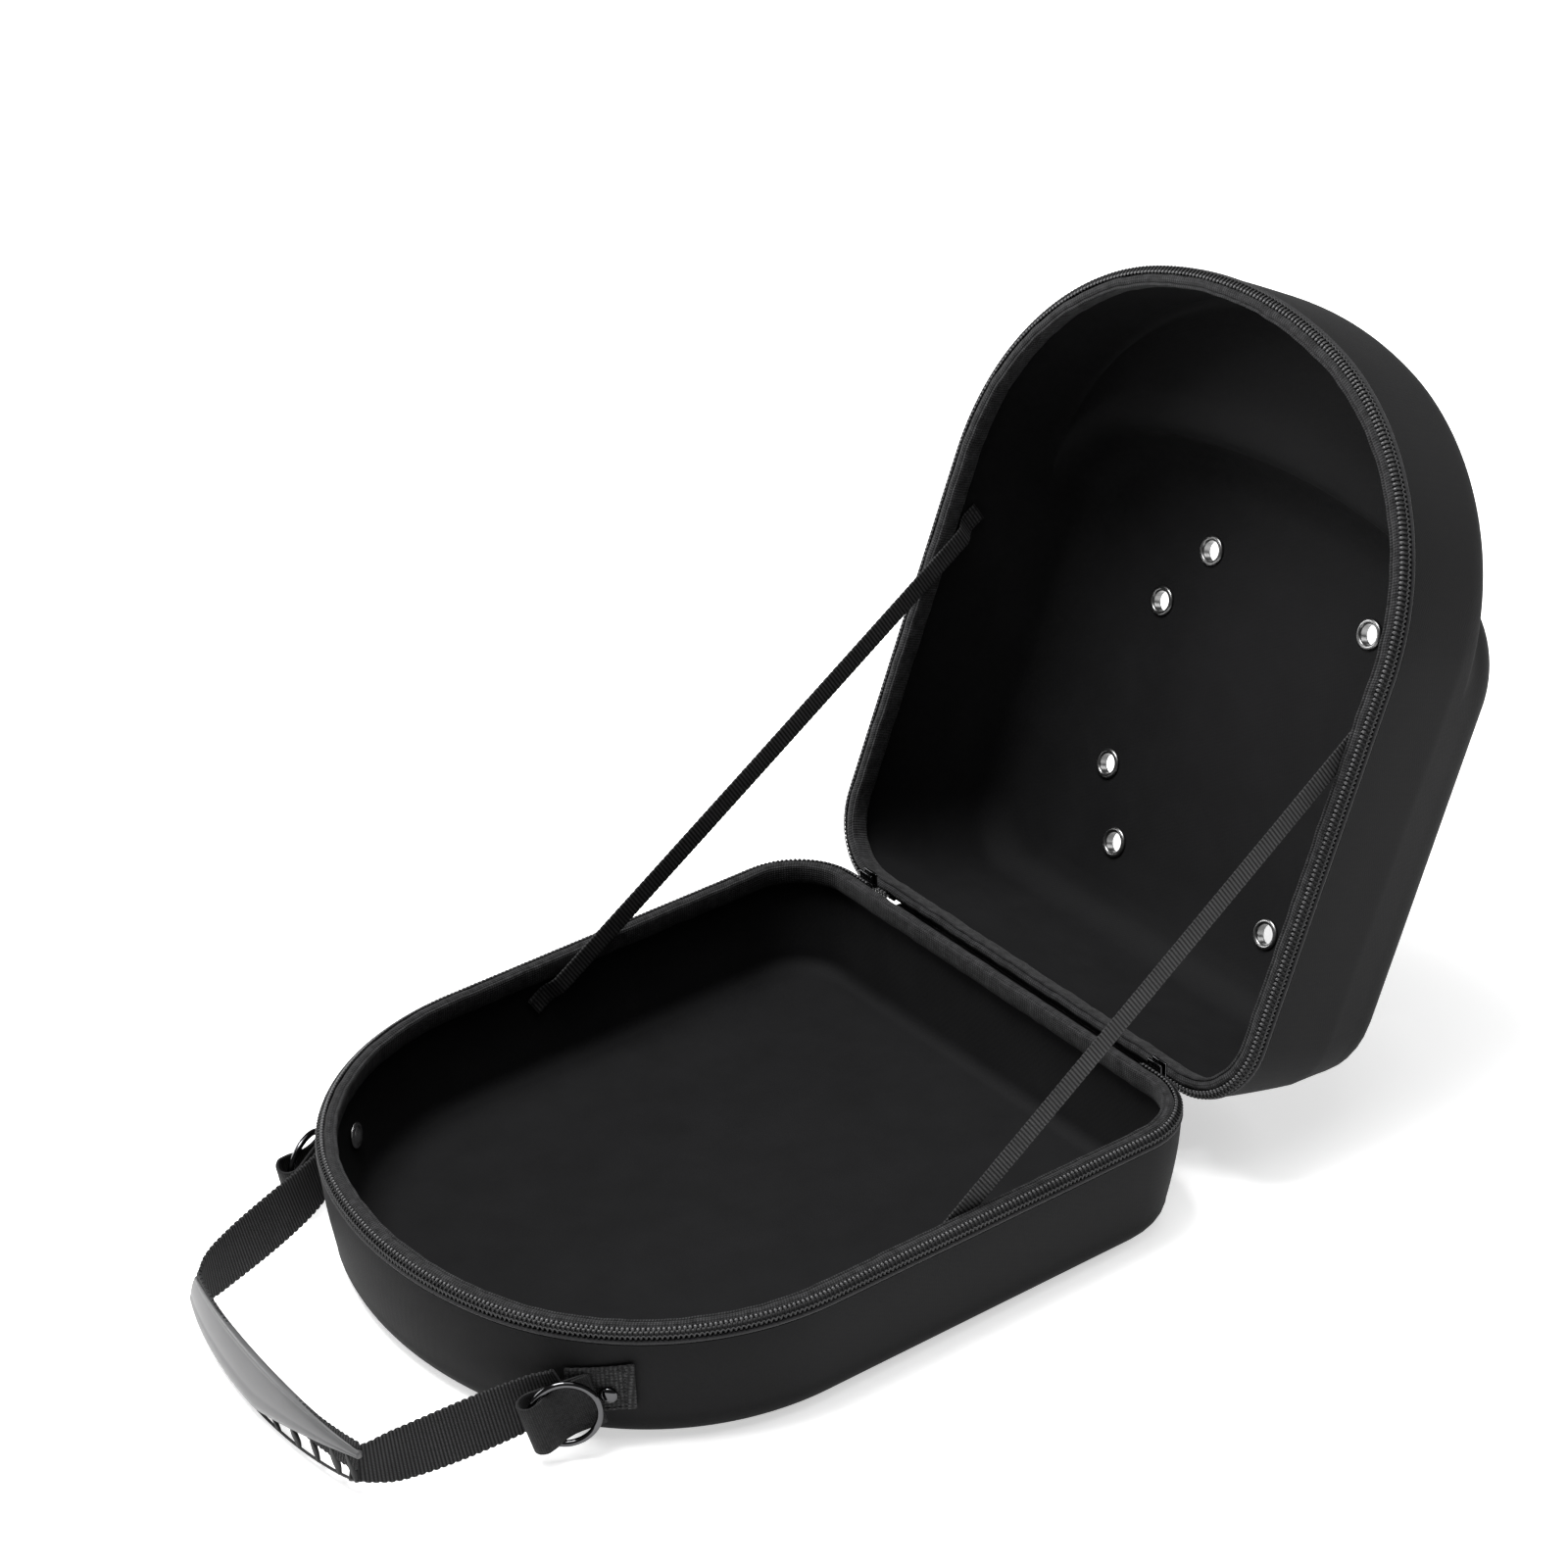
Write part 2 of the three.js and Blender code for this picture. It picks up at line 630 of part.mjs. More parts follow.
function loopLine(inset) {
  const radius = LOOP_BEND_RADIUS - inset;
  const centre = LOOP_REACH - LOOP_BEND_RADIUS;
  const pinch = LOOP_PINCH + inset * 2.5;
  const line = [[pinch, -inset * 0.2 + LOOP_THICKNESS * 0.55]];
  for (let i = 0; i <= LOOP_BEND_STEPS; i += 1) {
    const angle = -Math.PI / 2 + Math.PI * (i / LOOP_BEND_STEPS);
    line.push([centre + radius * Math.cos(angle), LOOP_BEND_RADIUS + radius * Math.sin(angle)]);
  }
  return line;
}

// The loop's own axes, swung down about the rivet and tilted off the wall: u runs along the tape,
// v off its back ply and w across its width. The foot is the pinched end of the back ply.
function loopAxes(frame) {
  const swing = LOOP_SWING * DEGREE;
  const tilt = LOOP_TILT * DEGREE;
  const up = new THREE.Vector3(0, 0, 1);
  const down = frame.t.clone().multiplyScalar(Math.cos(swing)).addScaledVector(up, -Math.sin(swing));
  const w = frame.t.clone().multiplyScalar(Math.sin(swing)).addScaledVector(up, Math.cos(swing));
  const u = down.clone().multiplyScalar(Math.cos(tilt)).addScaledVector(frame.n, Math.sin(tilt));
  const v = frame.n.clone().multiplyScalar(Math.cos(tilt)).addScaledVector(down, -Math.sin(tilt));
  const foot = frame.foot.clone().addScaledVector(down, LOOP_PINCH).addScaledVector(frame.n, LOOP_BACK_OFF);
  return { foot, u, v, w };
}

function loopGeometry(frame) {
  const half = LOOP_THICKNESS / 2;
  const { foot, u, v, w } = loopAxes(frame);
  const place = ([ahead, off], across) => foot.clone()
    .addScaledVector(u, ahead - LOOP_PINCH)
    .addScaledVector(v, off)
    .addScaledVector(w, across);
  const lines = [loopLine(-half), loopLine(half)];
  const sections = lines[0].map((_, i) => [
    place(lines[0][i], -WEBBING_WIDTH / 2),
    place(lines[0][i], WEBBING_WIDTH / 2),
    place(lines[1][i], WEBBING_WIDTH / 2),
    place(lines[1][i], -WEBBING_WIDTH / 2),
  ]);
  return skin(sections, true);
}

// The ring lies in the bend of the loop and comes out in front of the loop's outer ply.
const RING_STEPS = 22;
const RING_SIDES = 6;
const RING_OFF = 5;

function ringGeometry(frame) {
  const radius = RING_HOLE_RADIUS + RING_WIRE_RADIUS;
  const { foot, u, v, w } = loopAxes(frame);
  const deepest = LOOP_REACH - LOOP_PINCH - LOOP_THICKNESS / 2 - FIT_GAP - RING_WIRE_RADIUS;
  const middle = foot.clone().addScaledVector(u, deepest - radius).addScaledVector(v, RING_OFF);
  const geometry = new THREE.TorusGeometry(radius, RING_WIRE_RADIUS, RING_SIDES, RING_STEPS);
  geometry.applyMatrix4(new THREE.Matrix4().makeBasis(u, w, u.clone().cross(w)));
  geometry.translate(middle.x, middle.y, middle.z);
  return geometry;
}

// Rivet: a domed head outside, a shank through patch and wall, and a flat cap inside.
function rivetGeometry(frame) {
  const headFoot = 2 * FIT_GAP + WEBBING_THICKNESS;
  const capFoot = -TRAY_WALL - FIT_GAP - FACET_CLEAR;
  const profile = [
    [0, capFoot - 1.2],
    [RIVET_HEAD_RADIUS * 0.9, capFoot - 1],
    [RIVET_HEAD_RADIUS, capFoot],
    [RIVET_SHANK_RADIUS, capFoot],
    [RIVET_SHANK_RADIUS, headFoot],
    [RIVET_HEAD_RADIUS, headFoot],
    [RIVET_HEAD_RADIUS * 0.75, headFoot + RIVET_HEAD_HEIGHT * 0.7],
    [0, headFoot + RIVET_HEAD_HEIGHT],
  ];
  const geometry = new THREE.LatheGeometry(profile.map(([r, y]) => new THREE.Vector2(r, y)), 12);
  geometry.applyQuaternion(new THREE.Quaternion().setFromUnitVectors(new THREE.Vector3(0, 1, 0), wallNormal(frame)));
  geometry.translate(frame.foot.x, frame.foot.y, frame.foot.z);
  return geometry;
}

function wallNormal(frame) {
  return frame.n.clone().setZ(-wallLean()).normalize();
}

// Eyelet: two flanges joined by a barrel through the lid's face, its axis along Z.
function eyeletGeometry() {
  const barrel = EYELET_HOLE_RADIUS + EYELET_BARREL;
  const outFoot = -LID_DEPTH - FIT_GAP;
  const inFoot = -LID_DEPTH + LID_WALL + FIT_GAP;
  const middle = (EYELET_HOLE_RADIUS + EYELET_FLANGE_RADIUS) / 2;
  const profile = [
    [EYELET_HOLE_RADIUS, outFoot - EYELET_FLANGE * 0.6],
    [middle, outFoot - EYELET_FLANGE],
    [EYELET_FLANGE_RADIUS, outFoot],
    [barrel, outFoot],
    [barrel, inFoot],
    [EYELET_FLANGE_RADIUS, inFoot],
    [middle, inFoot + EYELET_FLANGE],
    [EYELET_HOLE_RADIUS, inFoot + EYELET_FLANGE * 0.6],
  ];
  profile.push(profile[0]);
  const geometry = new THREE.LatheGeometry(profile.map(([r, y]) => new THREE.Vector2(r, y)), 12);
  geometry.rotateX(Math.PI / 2);
  return geometry;
}

// Lid placement: the lid is made like the tray, turned over and swung back about the hinge.
const hingeY = HALF_LENGTH - HINGE_SETBACK;
const lidGroup = new THREE.Group();
lidGroup.position.set(0, hingeY, TRAY_HEIGHT - HINGE_DROP);
lidGroup.rotation.set(-LID_ANGLE * DEGREE, Math.PI, 0);
lidGroup.updateMatrix();

// A point of the lid given by its place across, along and its depth from the rim, in the case's frame.
function lidPoint(across, along, depth) {
  return new THREE.Vector3(-across, along - hingeY, -depth - HINGE_DROP).applyMatrix4(lidGroup.matrix);
}

// How far a shape reaches sideways at a place along the case.
function sideReach(shape, along) {
  const shoulder = shoulderOf(shape);
  if (along >= shoulder.y) {
    return shape.half;
  }
  return shoulder.x + Math.sqrt(shape.shoulderRadius ** 2 - (along - shoulder.y) ** 2);
}

// Stay strap: sewn inside the tray's wall, out past the binding, taut to the lid and down its wall.
function stayGeometry(side) {
  const clear = FIT_GAP + STAY_THICKNESS / 2;
  const pastBinding = HALF_WIDTH - BINDING_WIDTH - clear;
  const trayRim = new THREE.Vector3(pastBinding, side.stayOnTray, TRAY_HEIGHT);
  const lidRim = lidPoint(pastBinding, side.stayOnLid, 0);
  const pull = lidRim.clone().sub(trayRim).setX(0).normalize();
  const intoLid = lidPoint(0, 0, 1).sub(lidPoint(0, 0, 0));
  const lidAlong = lidPoint(0, 1, 0).sub(lidPoint(0, 0, 0));
  const runs = [
    { rim: trayRim, place: side.stayOnTray, way: pull.clone().negate(), sink: pull.z, drift: -pull.y, inset: (d) => trayInset(d) + TRAY_WALL },
    { rim: lidRim, place: side.stayOnLid, way: pull, sink: pull.dot(intoLid), drift: pull.dot(lidAlong), inset: (d) => lidInset(d) + LID_WALL },
  ];
  const ends = runs.map(({ rim, place, way, sink, drift, inset }) => {
    const spread = (STAY_WIDTH / 2) * Math.abs(drift);
    const edgeDepth = BINDING_DROP + spread + FIT_GAP;
    const stationAt = (depth, isSewn) => {
      const point = rim.clone().addScaledVector(way, depth / sink);
      if (!isSewn) {
        return point;
      }
      const along = place + drift * (depth / sink) - STAY_WIDTH / 2;
      const wall = rimShape(inset(depth + spread));
      return point.setX(sideReach(wall, along) - clear);
    };
    const footDepth = edgeDepth + STAY_WALL_RUN;
    return [stationAt(edgeDepth, false), stationAt(footDepth, true), stationAt(footDepth + STAY_TAIL, true)];
  });
  const points = [...ends[0].reverse(), trayRim.clone().lerp(lidRim, 0.5), ...ends[1]];
  const across = new THREE.Vector3(0, -pull.z, pull.y);
  const through = new THREE.Vector3(1, 0, 0);
  return ribbon(points.map((middle) => ({ middle, across, through })), STAY_WIDTH, STAY_THICKNESS);
}

// Cloth hinge: sewn down the tray's hinge end, then over to the underside of the lid's.
function hingeStripGeometry() {
  const half = HINGE_STRIP_THICKNESS / 2;
  const reach = HALF_WIDTH - HINGE_CORNER_RADIUS - ZIP_END_FROM_CORNER - 2;
  const off = FIT_GAP + half;
  const seamTop = RIM_BAND + 1.5;
  const low = seamTop + HINGE_STRIP_SEAM;
  const trayPoint = (depth, out) => [HALF_LENGTH - trayInset(depth) + out, TRAY_HEIGHT - depth];
  const lidLine = (depth, out) => {
    const point = lidPoint(0, HALF_LENGTH - lidInset(Math.max(depth, RIM_BAND)) + out, depth);
    return [point.y, point.z];
  };
  const path = [
    trayPoint(low, off),
    trayPoint(seamTop + 2, off),
    trayPoint(seamTop, off + 1.2),
    lidLine(RIM_BAND - 3, off + 1.6),
    lidLine(RIM_BAND + 1, off),
    lidLine(RIM_BAND + HINGE_STRIP_SEAM, off),
  ];
  const points = path.map(([y, z]) => new THREE.Vector3(0, y, z));
  const stations = stationsAlong(points, () => new THREE.Vector3(1, 0, 0));
  return ribbon(stations, 2 * reach, HINGE_STRIP_THICKNESS);
}

// Zip slider with its pull, parked at the end of the zip round the hinge corner: one plain piece.
const SLIDER = { length: 9, height: 8, depth: 4.5 };
const PULL = { length: 26, width: 6.5, thickness: 1.6 };

function sliderGeometry() {
  const x = HALF_WIDTH - HINGE_CORNER_RADIUS - ZIP_END_FROM_CORNER / 2;
  const y = HALF_LENGTH + ZIP_BULGE + FIT_GAP + SLIDER.depth / 2;
  const z = TRAY_HEIGHT - SLIDER.height / 2 + 1;
  const body = new THREE.BoxGeometry(SLIDER.length, SLIDER.depth, SLIDER.height);
  body.translate(x, y, z);
  const pull = new THREE.BoxGeometry(PULL.width, PULL.thickness, PULL.length);
  pull.translate(x, y, z - PULL.length / 2);
  return toGeometry(toSolid(body).add(toSolid(pull)));
}

// Colours and finishes
const cloth = { color: 0x17181a, roughness: 0.78, metalness: 0 };
const FINISHES = {
  shell: cloth,
  binding: { color: 0x1b1c1e, roughness: 0.85, metalness: 0 },
  webbing: { color: 0x1c1c1e, roughness: 0.9, metalness: 0 },
  zip: { color: 0x101113, roughness: 0.45, metalness: 0 },
  gunmetal: { color: 0x2c2d30, roughness: 0.25, metalness: 1 },
  nickel: { color: 0xd8d9da, roughness: 0.25, metalness: 1 },
  grip: { color: 0x4a4b4d, roughness: 0.4, metalness: 0 },
};

const cap_case = new THREE.Group();
cap_case.add(lidGroup);

function addPiece(parent, name, geometry, finish) {
  const mesh = new THREE.Mesh(geometry, new THREE.MeshStandardMaterial(FINISHES[finish]));
  mesh.name = name;
  parent.add(mesh);
  return mesh;
}

// Pieces of the lid are made with their rim at z = 0 and hang from the hinge's axis.
function addToLid(name, geometry, finish) {
  addPiece(lidGroup, name, geometry, finish).position.set(0, -hingeY, -HINGE_DROP);
}

function addToTray(name, geometry, finish) {
  addPiece(cap_case, name, geometry, finish).position.set(0, 0, TRAY_HEIGHT);
}

const frames = SIDES.map((side) => anchorFrame(side.turn));
const shankHole = RIVET_SHANK_RADIUS + FIT_GAP;

// Tray
const rivetHoles = SIDES.map((side, i) => {
  const hole = drill(frames[i].foot, wallNormal(frames[i]), shankHole, 6 * TRAY_WALL);
  hole.translate(0, 0, -TRAY_HEIGHT);
  return toSide(hole, side.sign);
});
addToTray('tray_shell', cutAway(cup(traySections(), TRAY_WALL), rivetHoles), 'shell');
addToTray('tray_binding', bindingGeometry(TRAY_WALL), 'binding');
addToTray('tray_zip', zipGeometry(), 'zip');

// Lid
const eyeletHoles = [];
for (const sign of [1, -1]) {
  for (const eyelet of EYELETS) {
    const middle = new THREE.Vector3(sign * eyelet.side, eyelet.along, -LID_DEPTH);
    const radius = EYELET_HOLE_RADIUS + EYELET_BARREL + FIT_GAP;
    eyeletHoles.push(drill(middle, new THREE.Vector3(0, 0, 1), radius, 4 * LID_WALL));
  }
}
addToLid('lid_shell', cutAway(cup(lidSections(), LID_WALL), eyeletHoles), 'shell');
addToLid('lid_binding', bindingGeometry(LID_WALL), 'binding');
addToLid('lid_zip', zipGeometry(), 'zip');
for (const side of SIDES) {
  for (const eyelet of EYELETS) {
    const geometry = eyeletGeometry();
    geometry.translate(-side.sign * eyelet.side, eyelet.along, 0);
    addToLid(`eyelet_${eyelet.name}_${side.name}`, geometry, 'nickel');
  }
}
addPiece(cap_case, 'hinge_strip', hingeStripGeometry(), 'binding');

// Handle, stays and sliders
SIDES.forEach((side, i) => {
  const frame = frames[i];
  const hole = drill(frame.foot, wallNormal(frame), shankHole, 6 * TRAY_WALL);
  const pieces = [
    ['anchor_patch', cutAway(patchGeometry(frame), [hole]), 'webbing'],
    ['ring_loop', loopGeometry(frame), 'webbing'],
    ['strap_ring', ringGeometry(frame), 'gunmetal'],
    ['rivet', rivetGeometry(frame), 'gunmetal'],
    ['handle_strap', strapGeometry(side, frame), 'webbing'],
    ['stay_strap', stayGeometry(side), 'webbing'],
    ['zip_slider', sliderGeometry(), 'gunmetal'],
  ];
  for (const [name, geometry, finish] of pieces) {
    addPiece(cap_case, `${name}_${side.name}`, toSide(geometry, side.sign), finish);
  }
});
addPiece(cap_case, 'handle_grip', gripGeometry(), 'grip');

export default cap_case;
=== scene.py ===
import math

import bmesh
import bpy
import numpy as np
from mathutils import Matrix, Vector
from mathutils.geometry import delaunay_2d_cdt


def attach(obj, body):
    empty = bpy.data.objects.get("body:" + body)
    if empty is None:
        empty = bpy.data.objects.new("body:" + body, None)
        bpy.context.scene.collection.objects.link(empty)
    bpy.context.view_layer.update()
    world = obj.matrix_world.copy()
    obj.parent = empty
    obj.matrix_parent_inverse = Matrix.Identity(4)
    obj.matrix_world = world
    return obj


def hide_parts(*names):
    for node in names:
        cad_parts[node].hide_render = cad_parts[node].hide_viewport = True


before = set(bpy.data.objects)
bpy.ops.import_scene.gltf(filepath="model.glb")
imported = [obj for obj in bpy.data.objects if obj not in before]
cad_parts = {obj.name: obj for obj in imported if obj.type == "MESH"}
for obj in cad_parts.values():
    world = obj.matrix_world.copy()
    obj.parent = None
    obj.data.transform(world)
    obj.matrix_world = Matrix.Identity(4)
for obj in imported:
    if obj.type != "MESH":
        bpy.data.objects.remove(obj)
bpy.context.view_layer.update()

# Sizes of the case, in millimetres
HALF_WIDTH = 145.0
HALF_LENGTH = 169.0
ARCH_RADIUS = 188.0
SHOULDER_RADIUS = 126.0
CORNER_RADIUS = 36.0
CORNER_SHRINK = 0.3
TRAY_WALL = 4.5
LID_WALL = 3.2
TRAY_HEIGHT = 60.0
TRAY_TAPER = 4.5
TRAY_ROUND = 12.0
LID_DEPTH = 95.0
LID_SHALLOW = 61.0
LID_TAPER = 7.5
LID_ROUND = 25.0
LID_ARCH_ROUND = 10.0
STEP_FROM_ARCH = 79.0
STEP_SHOULDER = 50.0
STEP_CROWN = 380.0
STEP_FOOT = 20.0
RIM_BAND = 7.0
HINGE_DROP = 9.7
HINGE_Y = HALF_LENGTH - 0.5
LID_ANGLE = 113.0
GAP = 0.3
EYELET_HOLE = 5.9

# Zip and binding
ZIP_END_FROM_CORNER = 12.0
COIL_PITCH = 2.15
COIL_INSET = 1.4
COIL_DEPTH = 2.15
COIL_TILT = 46.0
BINDING_REACH = 8.8
BINDING_DROP = 10.0

# Webbing, patches, loops and rings of the handle
WEB_WIDTH = 25.0
WEB_THICK = 1.8
WEB_PITCH = 1.55
RIVET_HEIGHT = 28.0
PATCH_BEHIND = 11.0
PATCH_AHEAD = 18.0
PATCH_LIFT = 2.0
PATCH_SLOPE = 0.2
PATCH_PITCH = 1.9
SEAM_LIFT = 0.85
LOOP_THICK = 1.5
LOOP_REACH = 36.0
LOOP_BEND = 5.5
LOOP_PINCH = 6.1
LOOP_OFF = 3.15
LOOP_SWING = 17.0
LOOP_TILT = 14.0
RING_RADIUS = 14.4
RING_WIRE = 1.45
RING_SEAT = 1.5
RING_OFF = 5.0
STRAP_SAG = 7.5
STRAP_IN_GRIP = 5.0

# Grip, with the place along it and the breadth of each rib
GRIP_HEIGHT = 14.5
GRIP_HALF_HEIGHT = 11.6
GRIP_HALF_THICK = 3.4
GRIP_LEAN = 12.0
GRIP_STATIONS = 200
GRIP_RAIL = 0.95
GRIP_RIB_SLANT = 7.0
GRIP_RIBS = ((0.035, 2.2), (0.1, 2.9), (0.19, 2.1), (0.28, 3.0), (0.38, 2.0), (0.46, 1.1))

# Stay straps and cloth hinge
STAY_WIDTH = 11.0
STAY_THICK = 1.0
STAY_PITCH = 1.7
HINGE_WIDTH = 190.0
HINGE_SEAM = 11.0
HINGE_OFF = 0.9

# What differs between the two sides, the bow of the grip, and the eyelets from the middle of the case
SIDES = {
    "right": dict(sign=1, turn=45.5, stay_tray=35, stay_lid=-2, grip=(68, 58), lean=20, bow=(-14, 11)),
    "left": dict(sign=-1, turn=36.5, stay_tray=39, stay_lid=19, grip=(78, 48), lean=-15, bow=(-11, 19)),
}
GRIP_BOW = ((30, 67), (-38, 62))
EYELETS = {
    "arch_inner": (53.2, -31.7),
    "arch_outer": (73.0, 1.2),
    "hinge_outer": (73.0, 84.7),
    "hinge_inner": (53.2, 117.2),
}

TRAY = Matrix.Translation((0, 0, TRAY_HEIGHT))
LID = (
    Matrix.Translation((0, HINGE_Y, TRAY_HEIGHT - HINGE_DROP))
    @ Matrix.Rotation(math.radians(-LID_ANGLE), 4, "X")
    @ Matrix.Rotation(math.pi, 4, "Y")
    @ Matrix.Translation((0, -HINGE_Y, -HINGE_DROP))
)
CASE = Matrix.Identity(4)
UP = np.array([0, 0, 1.0])
MM = 0.001
UV_NAME = "along_across"


# Mesh helpers
def unit(v):
    v = np.asarray(v, float)
    return v / np.linalg.norm(v, axis=-1, keepdims=True)


def moved(points, matrix):
    m = np.array(matrix)
    return np.asarray(points, float) @ m[:3, :3].T + m[:3, 3]


def make(name, shape, mat, replaces=(), place=CASE, uv=None, weld=False):
    """A piece from points in millimetres and their faces, set in the case's frame and ridden on it."""
    mesh = bpy.data.meshes.new(name)
    points, faces = shape
    points = moved(points, place) * MM
    mesh.from_pydata([tuple(p) for p in points], [], [tuple(int(i) for i in f) for f in faces])
    if uv is not None:
        layer = mesh.uv_layers.new(name=UV_NAME)
        loop_vertex = np.zeros(len(mesh.loops), int)
        mesh.loops.foreach_get("vertex_index", loop_vertex)
        layer.data.foreach_set("uv", np.asarray(uv, float)[loop_vertex].ravel())
    bm = bmesh.new()
    bm.from_mesh(mesh)
    if weld:
        bmesh.ops.remove_doubles(bm, verts=bm.verts, dist=1e-6)
    bmesh.ops.recalc_face_normals(bm, faces=bm.faces)
    bm.to_mesh(mesh)
    bm.free()
    mesh.polygons.foreach_set("use_smooth", [True] * len(mesh.polygons))
    mesh.materials.append(mat)
    piece = bpy.data.objects.new(name, mesh)
    bpy.context.scene.collection.objects.link(piece)
    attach(piece, "root")
    if replaces:
        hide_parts(*replaces)
    return piece


def loft(rings, close_rings=False, caps=True):
    """Faces of a tube through rings of equal size, given as one array of rings, points and coordinates."""
    n, m = rings.shape[:2]
    faces = []
    for i in range(n if close_rings else n - 1):
        a, b = i * m, ((i + 1) % n) * m
        for j in range(m):
            k = (j + 1) % m
            faces.append((a + j, a + k, b + k, b + j))
    if caps and not close_rings:
        faces.append(tuple(range(m))[::-1])
        faces.append(tuple((n - 1) * m + j for j in range(m)))
    return rings.reshape(-1, 3), faces


def merged(parts):
    """Several (points, faces) as one."""
    points, faces, shift = [], [], 0
    for p, f in parts:
        points.append(p)
        faces.extend([tuple(i + shift for i in face) for face in f])
        shift += len(p)
    return np.concatenate(points), faces


def sweep(path, across, through, profile, close=False):
    """A profile carried along a path. It and its two directions are one for all stations or one for each."""
    path, across, through = np.broadcast_arrays(*(np.asarray(a, float) for a in (path, across, through)))
    profile = np.asarray(profile, float)
    if profile.ndim == 2:
        profile = np.broadcast_to(profile, (len(path),) + profile.shape)
    rings = path[:, None] + across[:, None] * profile[..., :1] + through[:, None] * profile[..., 1:]
    return loft(rings, close)


def ellipse(a, b, sides):
    t = np.linspace(0, 2 * np.pi, sides, endpoint=False)
    return np.stack([a * np.cos(t), b * np.sin(t)], 1)


def rounded_bar(width, thick, edge=4, flat=6):
    """Outline of a flat bar with round edges, as points of [across, through]."""
    r = thick / 2
    half = width / 2 - r
    t = np.linspace(-np.pi / 2, np.pi / 2, edge + 1)
    right = np.stack([half + r * np.cos(t), r * np.sin(t)], 1)
    top = np.stack([np.linspace(half, -half, flat + 1)[1:-1], np.full(flat - 1, r)], 1)
    return np.concatenate([right, top, -right, -top])


def lengths(points):
    """Distance of each point along its line."""
    return np.concatenate([[0], np.cumsum(np.linalg.norm(np.diff(points, axis=0), axis=1))])


def resampled(points, count=None, step=None, closed=False):
    """Points at even distances along a line, with the distance of each."""
    points = np.asarray(points, float)
    if closed:
        points = np.concatenate([points, points[:1]])
    s = lengths(points)
    if count is None:
        count = int(round(s[-1] / step)) + (0 if closed else 1)
    at = np.linspace(0, s[-1], count, endpoint=not closed)
    return np.stack([np.interp(at, s, points[:, k]) for k in range(points.shape[1])], 1), at


def tangents(points, closed=False):
    if closed:
        return unit(np.roll(points, -1, 0) - np.roll(points, 1, 0))
    return unit(np.gradient(points, axis=0))


def bezier(a, b, c, d, count=400):
    t = np.linspace(0, 1, count)[:, None]
    a, b, c, d = (np.asarray(p, float) for p in (a, b, c, d))
    return (1 - t) ** 3 * a + 3 * (1 - t) ** 2 * t * b + 3 * (1 - t) * t**2 * c + t**3 * d


def monotone(x, y, at):
    """Smooth interpolation without overshoot, for each column of y."""
    x, y = np.asarray(x, float), np.asarray(y, float)
    h = np.diff(x)[:, None]
    d = np.diff(y, axis=0) / h
    m = np.zeros_like(y)
    m[0], m[-1] = d[0], d[-1]
    same = d[:-1] * d[1:] > 0
    w1, w2 = 2 * h[1:] + h[:-1], h[1:] + 2 * h[:-1]
    with np.errstate(divide="ignore", invalid="ignore"):
        mean = (w1 + w2) / (w1 / d[:-1] + w2 / d[1:])
    m[1:-1] = np.where(same, mean, 0)
    i = np.clip(np.searchsorted(x, at, side="right") - 1, 0, len(x) - 2)
    t = ((at - x[i]) / (x[i + 1] - x[i]))[:, None]
    hi = h[i]
    return (
        (2 * t**3 - 3 * t**2 + 1) * y[i]
        + (t**3 - 2 * t**2 + t) * hi * m[i]
        + (-2 * t**3 + 3 * t**2) * y[i + 1]
        + (t**3 - t**2) * hi * m[i + 1]
    )


# Plan of the case: tangent arcs and straights
def rim_shape(inset):
    full = (HALF_WIDTH, HALF_LENGTH, HALF_LENGTH, ARCH_RADIUS, SHOULDER_RADIUS, CORNER_RADIUS)
    return tuple(size - inset for size in full)


def mould_shape(inset):
    return rim_shape(inset)[:5] + (CORNER_RADIUS - inset * CORNER_SHRINK,)


def shoulder_of(shape):
    half, arch, _, arch_radius, shoulder_radius, _ = shape
    reach = arch_radius - shoulder_radius
    x = half - shoulder_radius
    return x, -arch + arch_radius - math.sqrt(reach * reach - x * x), -math.acos(x / reach)


# Points along each piece of half an outline
STEPS = (14, 34, 16, 9, 18)


def outline(shape, steps=STEPS):
    """Plan points, counter-clockwise from the arch's apex."""
    half, arch, hinge, arch_radius, shoulder_radius, corner = shape
    sx, sy, meet = shoulder_of(shape)
    apex, shoulder, side, turn, end = steps
    centre = -arch + arch_radius
    a = -np.pi / 2 + (meet + np.pi / 2) * np.arange(apex) / apex
    rows = [np.stack([arch_radius * np.cos(a), centre + arch_radius * np.sin(a)], 1)]
    a = meet * (1 - np.arange(shoulder) / shoulder)
    rows.append(np.stack([sx + shoulder_radius * np.cos(a), sy + shoulder_radius * np.sin(a)], 1))
    y = sy + (hinge - corner - sy) * np.arange(side) / side
    rows.append(np.stack([np.full(side, half), y], 1))
    a = np.pi / 2 * np.arange(turn) / turn
    rows.append(np.stack([half - corner + corner * np.cos(a), hinge - corner + corner * np.sin(a)], 1))
    x = (half - corner) * (1 - np.arange(end + 1) / end)
    rows.append(np.stack([x, np.full(end + 1, hinge)], 1))
    right = np.concatenate(rows)
    left = right[1:-1][::-1] * [-1, 1]
    return np.concatenate([right, left])


def at_depth(plan, depth):
    return np.concatenate([plan, np.full((len(plan), 1), -depth)], 1)


def ring(shape, depth):
    return at_depth(outline(shape), depth)


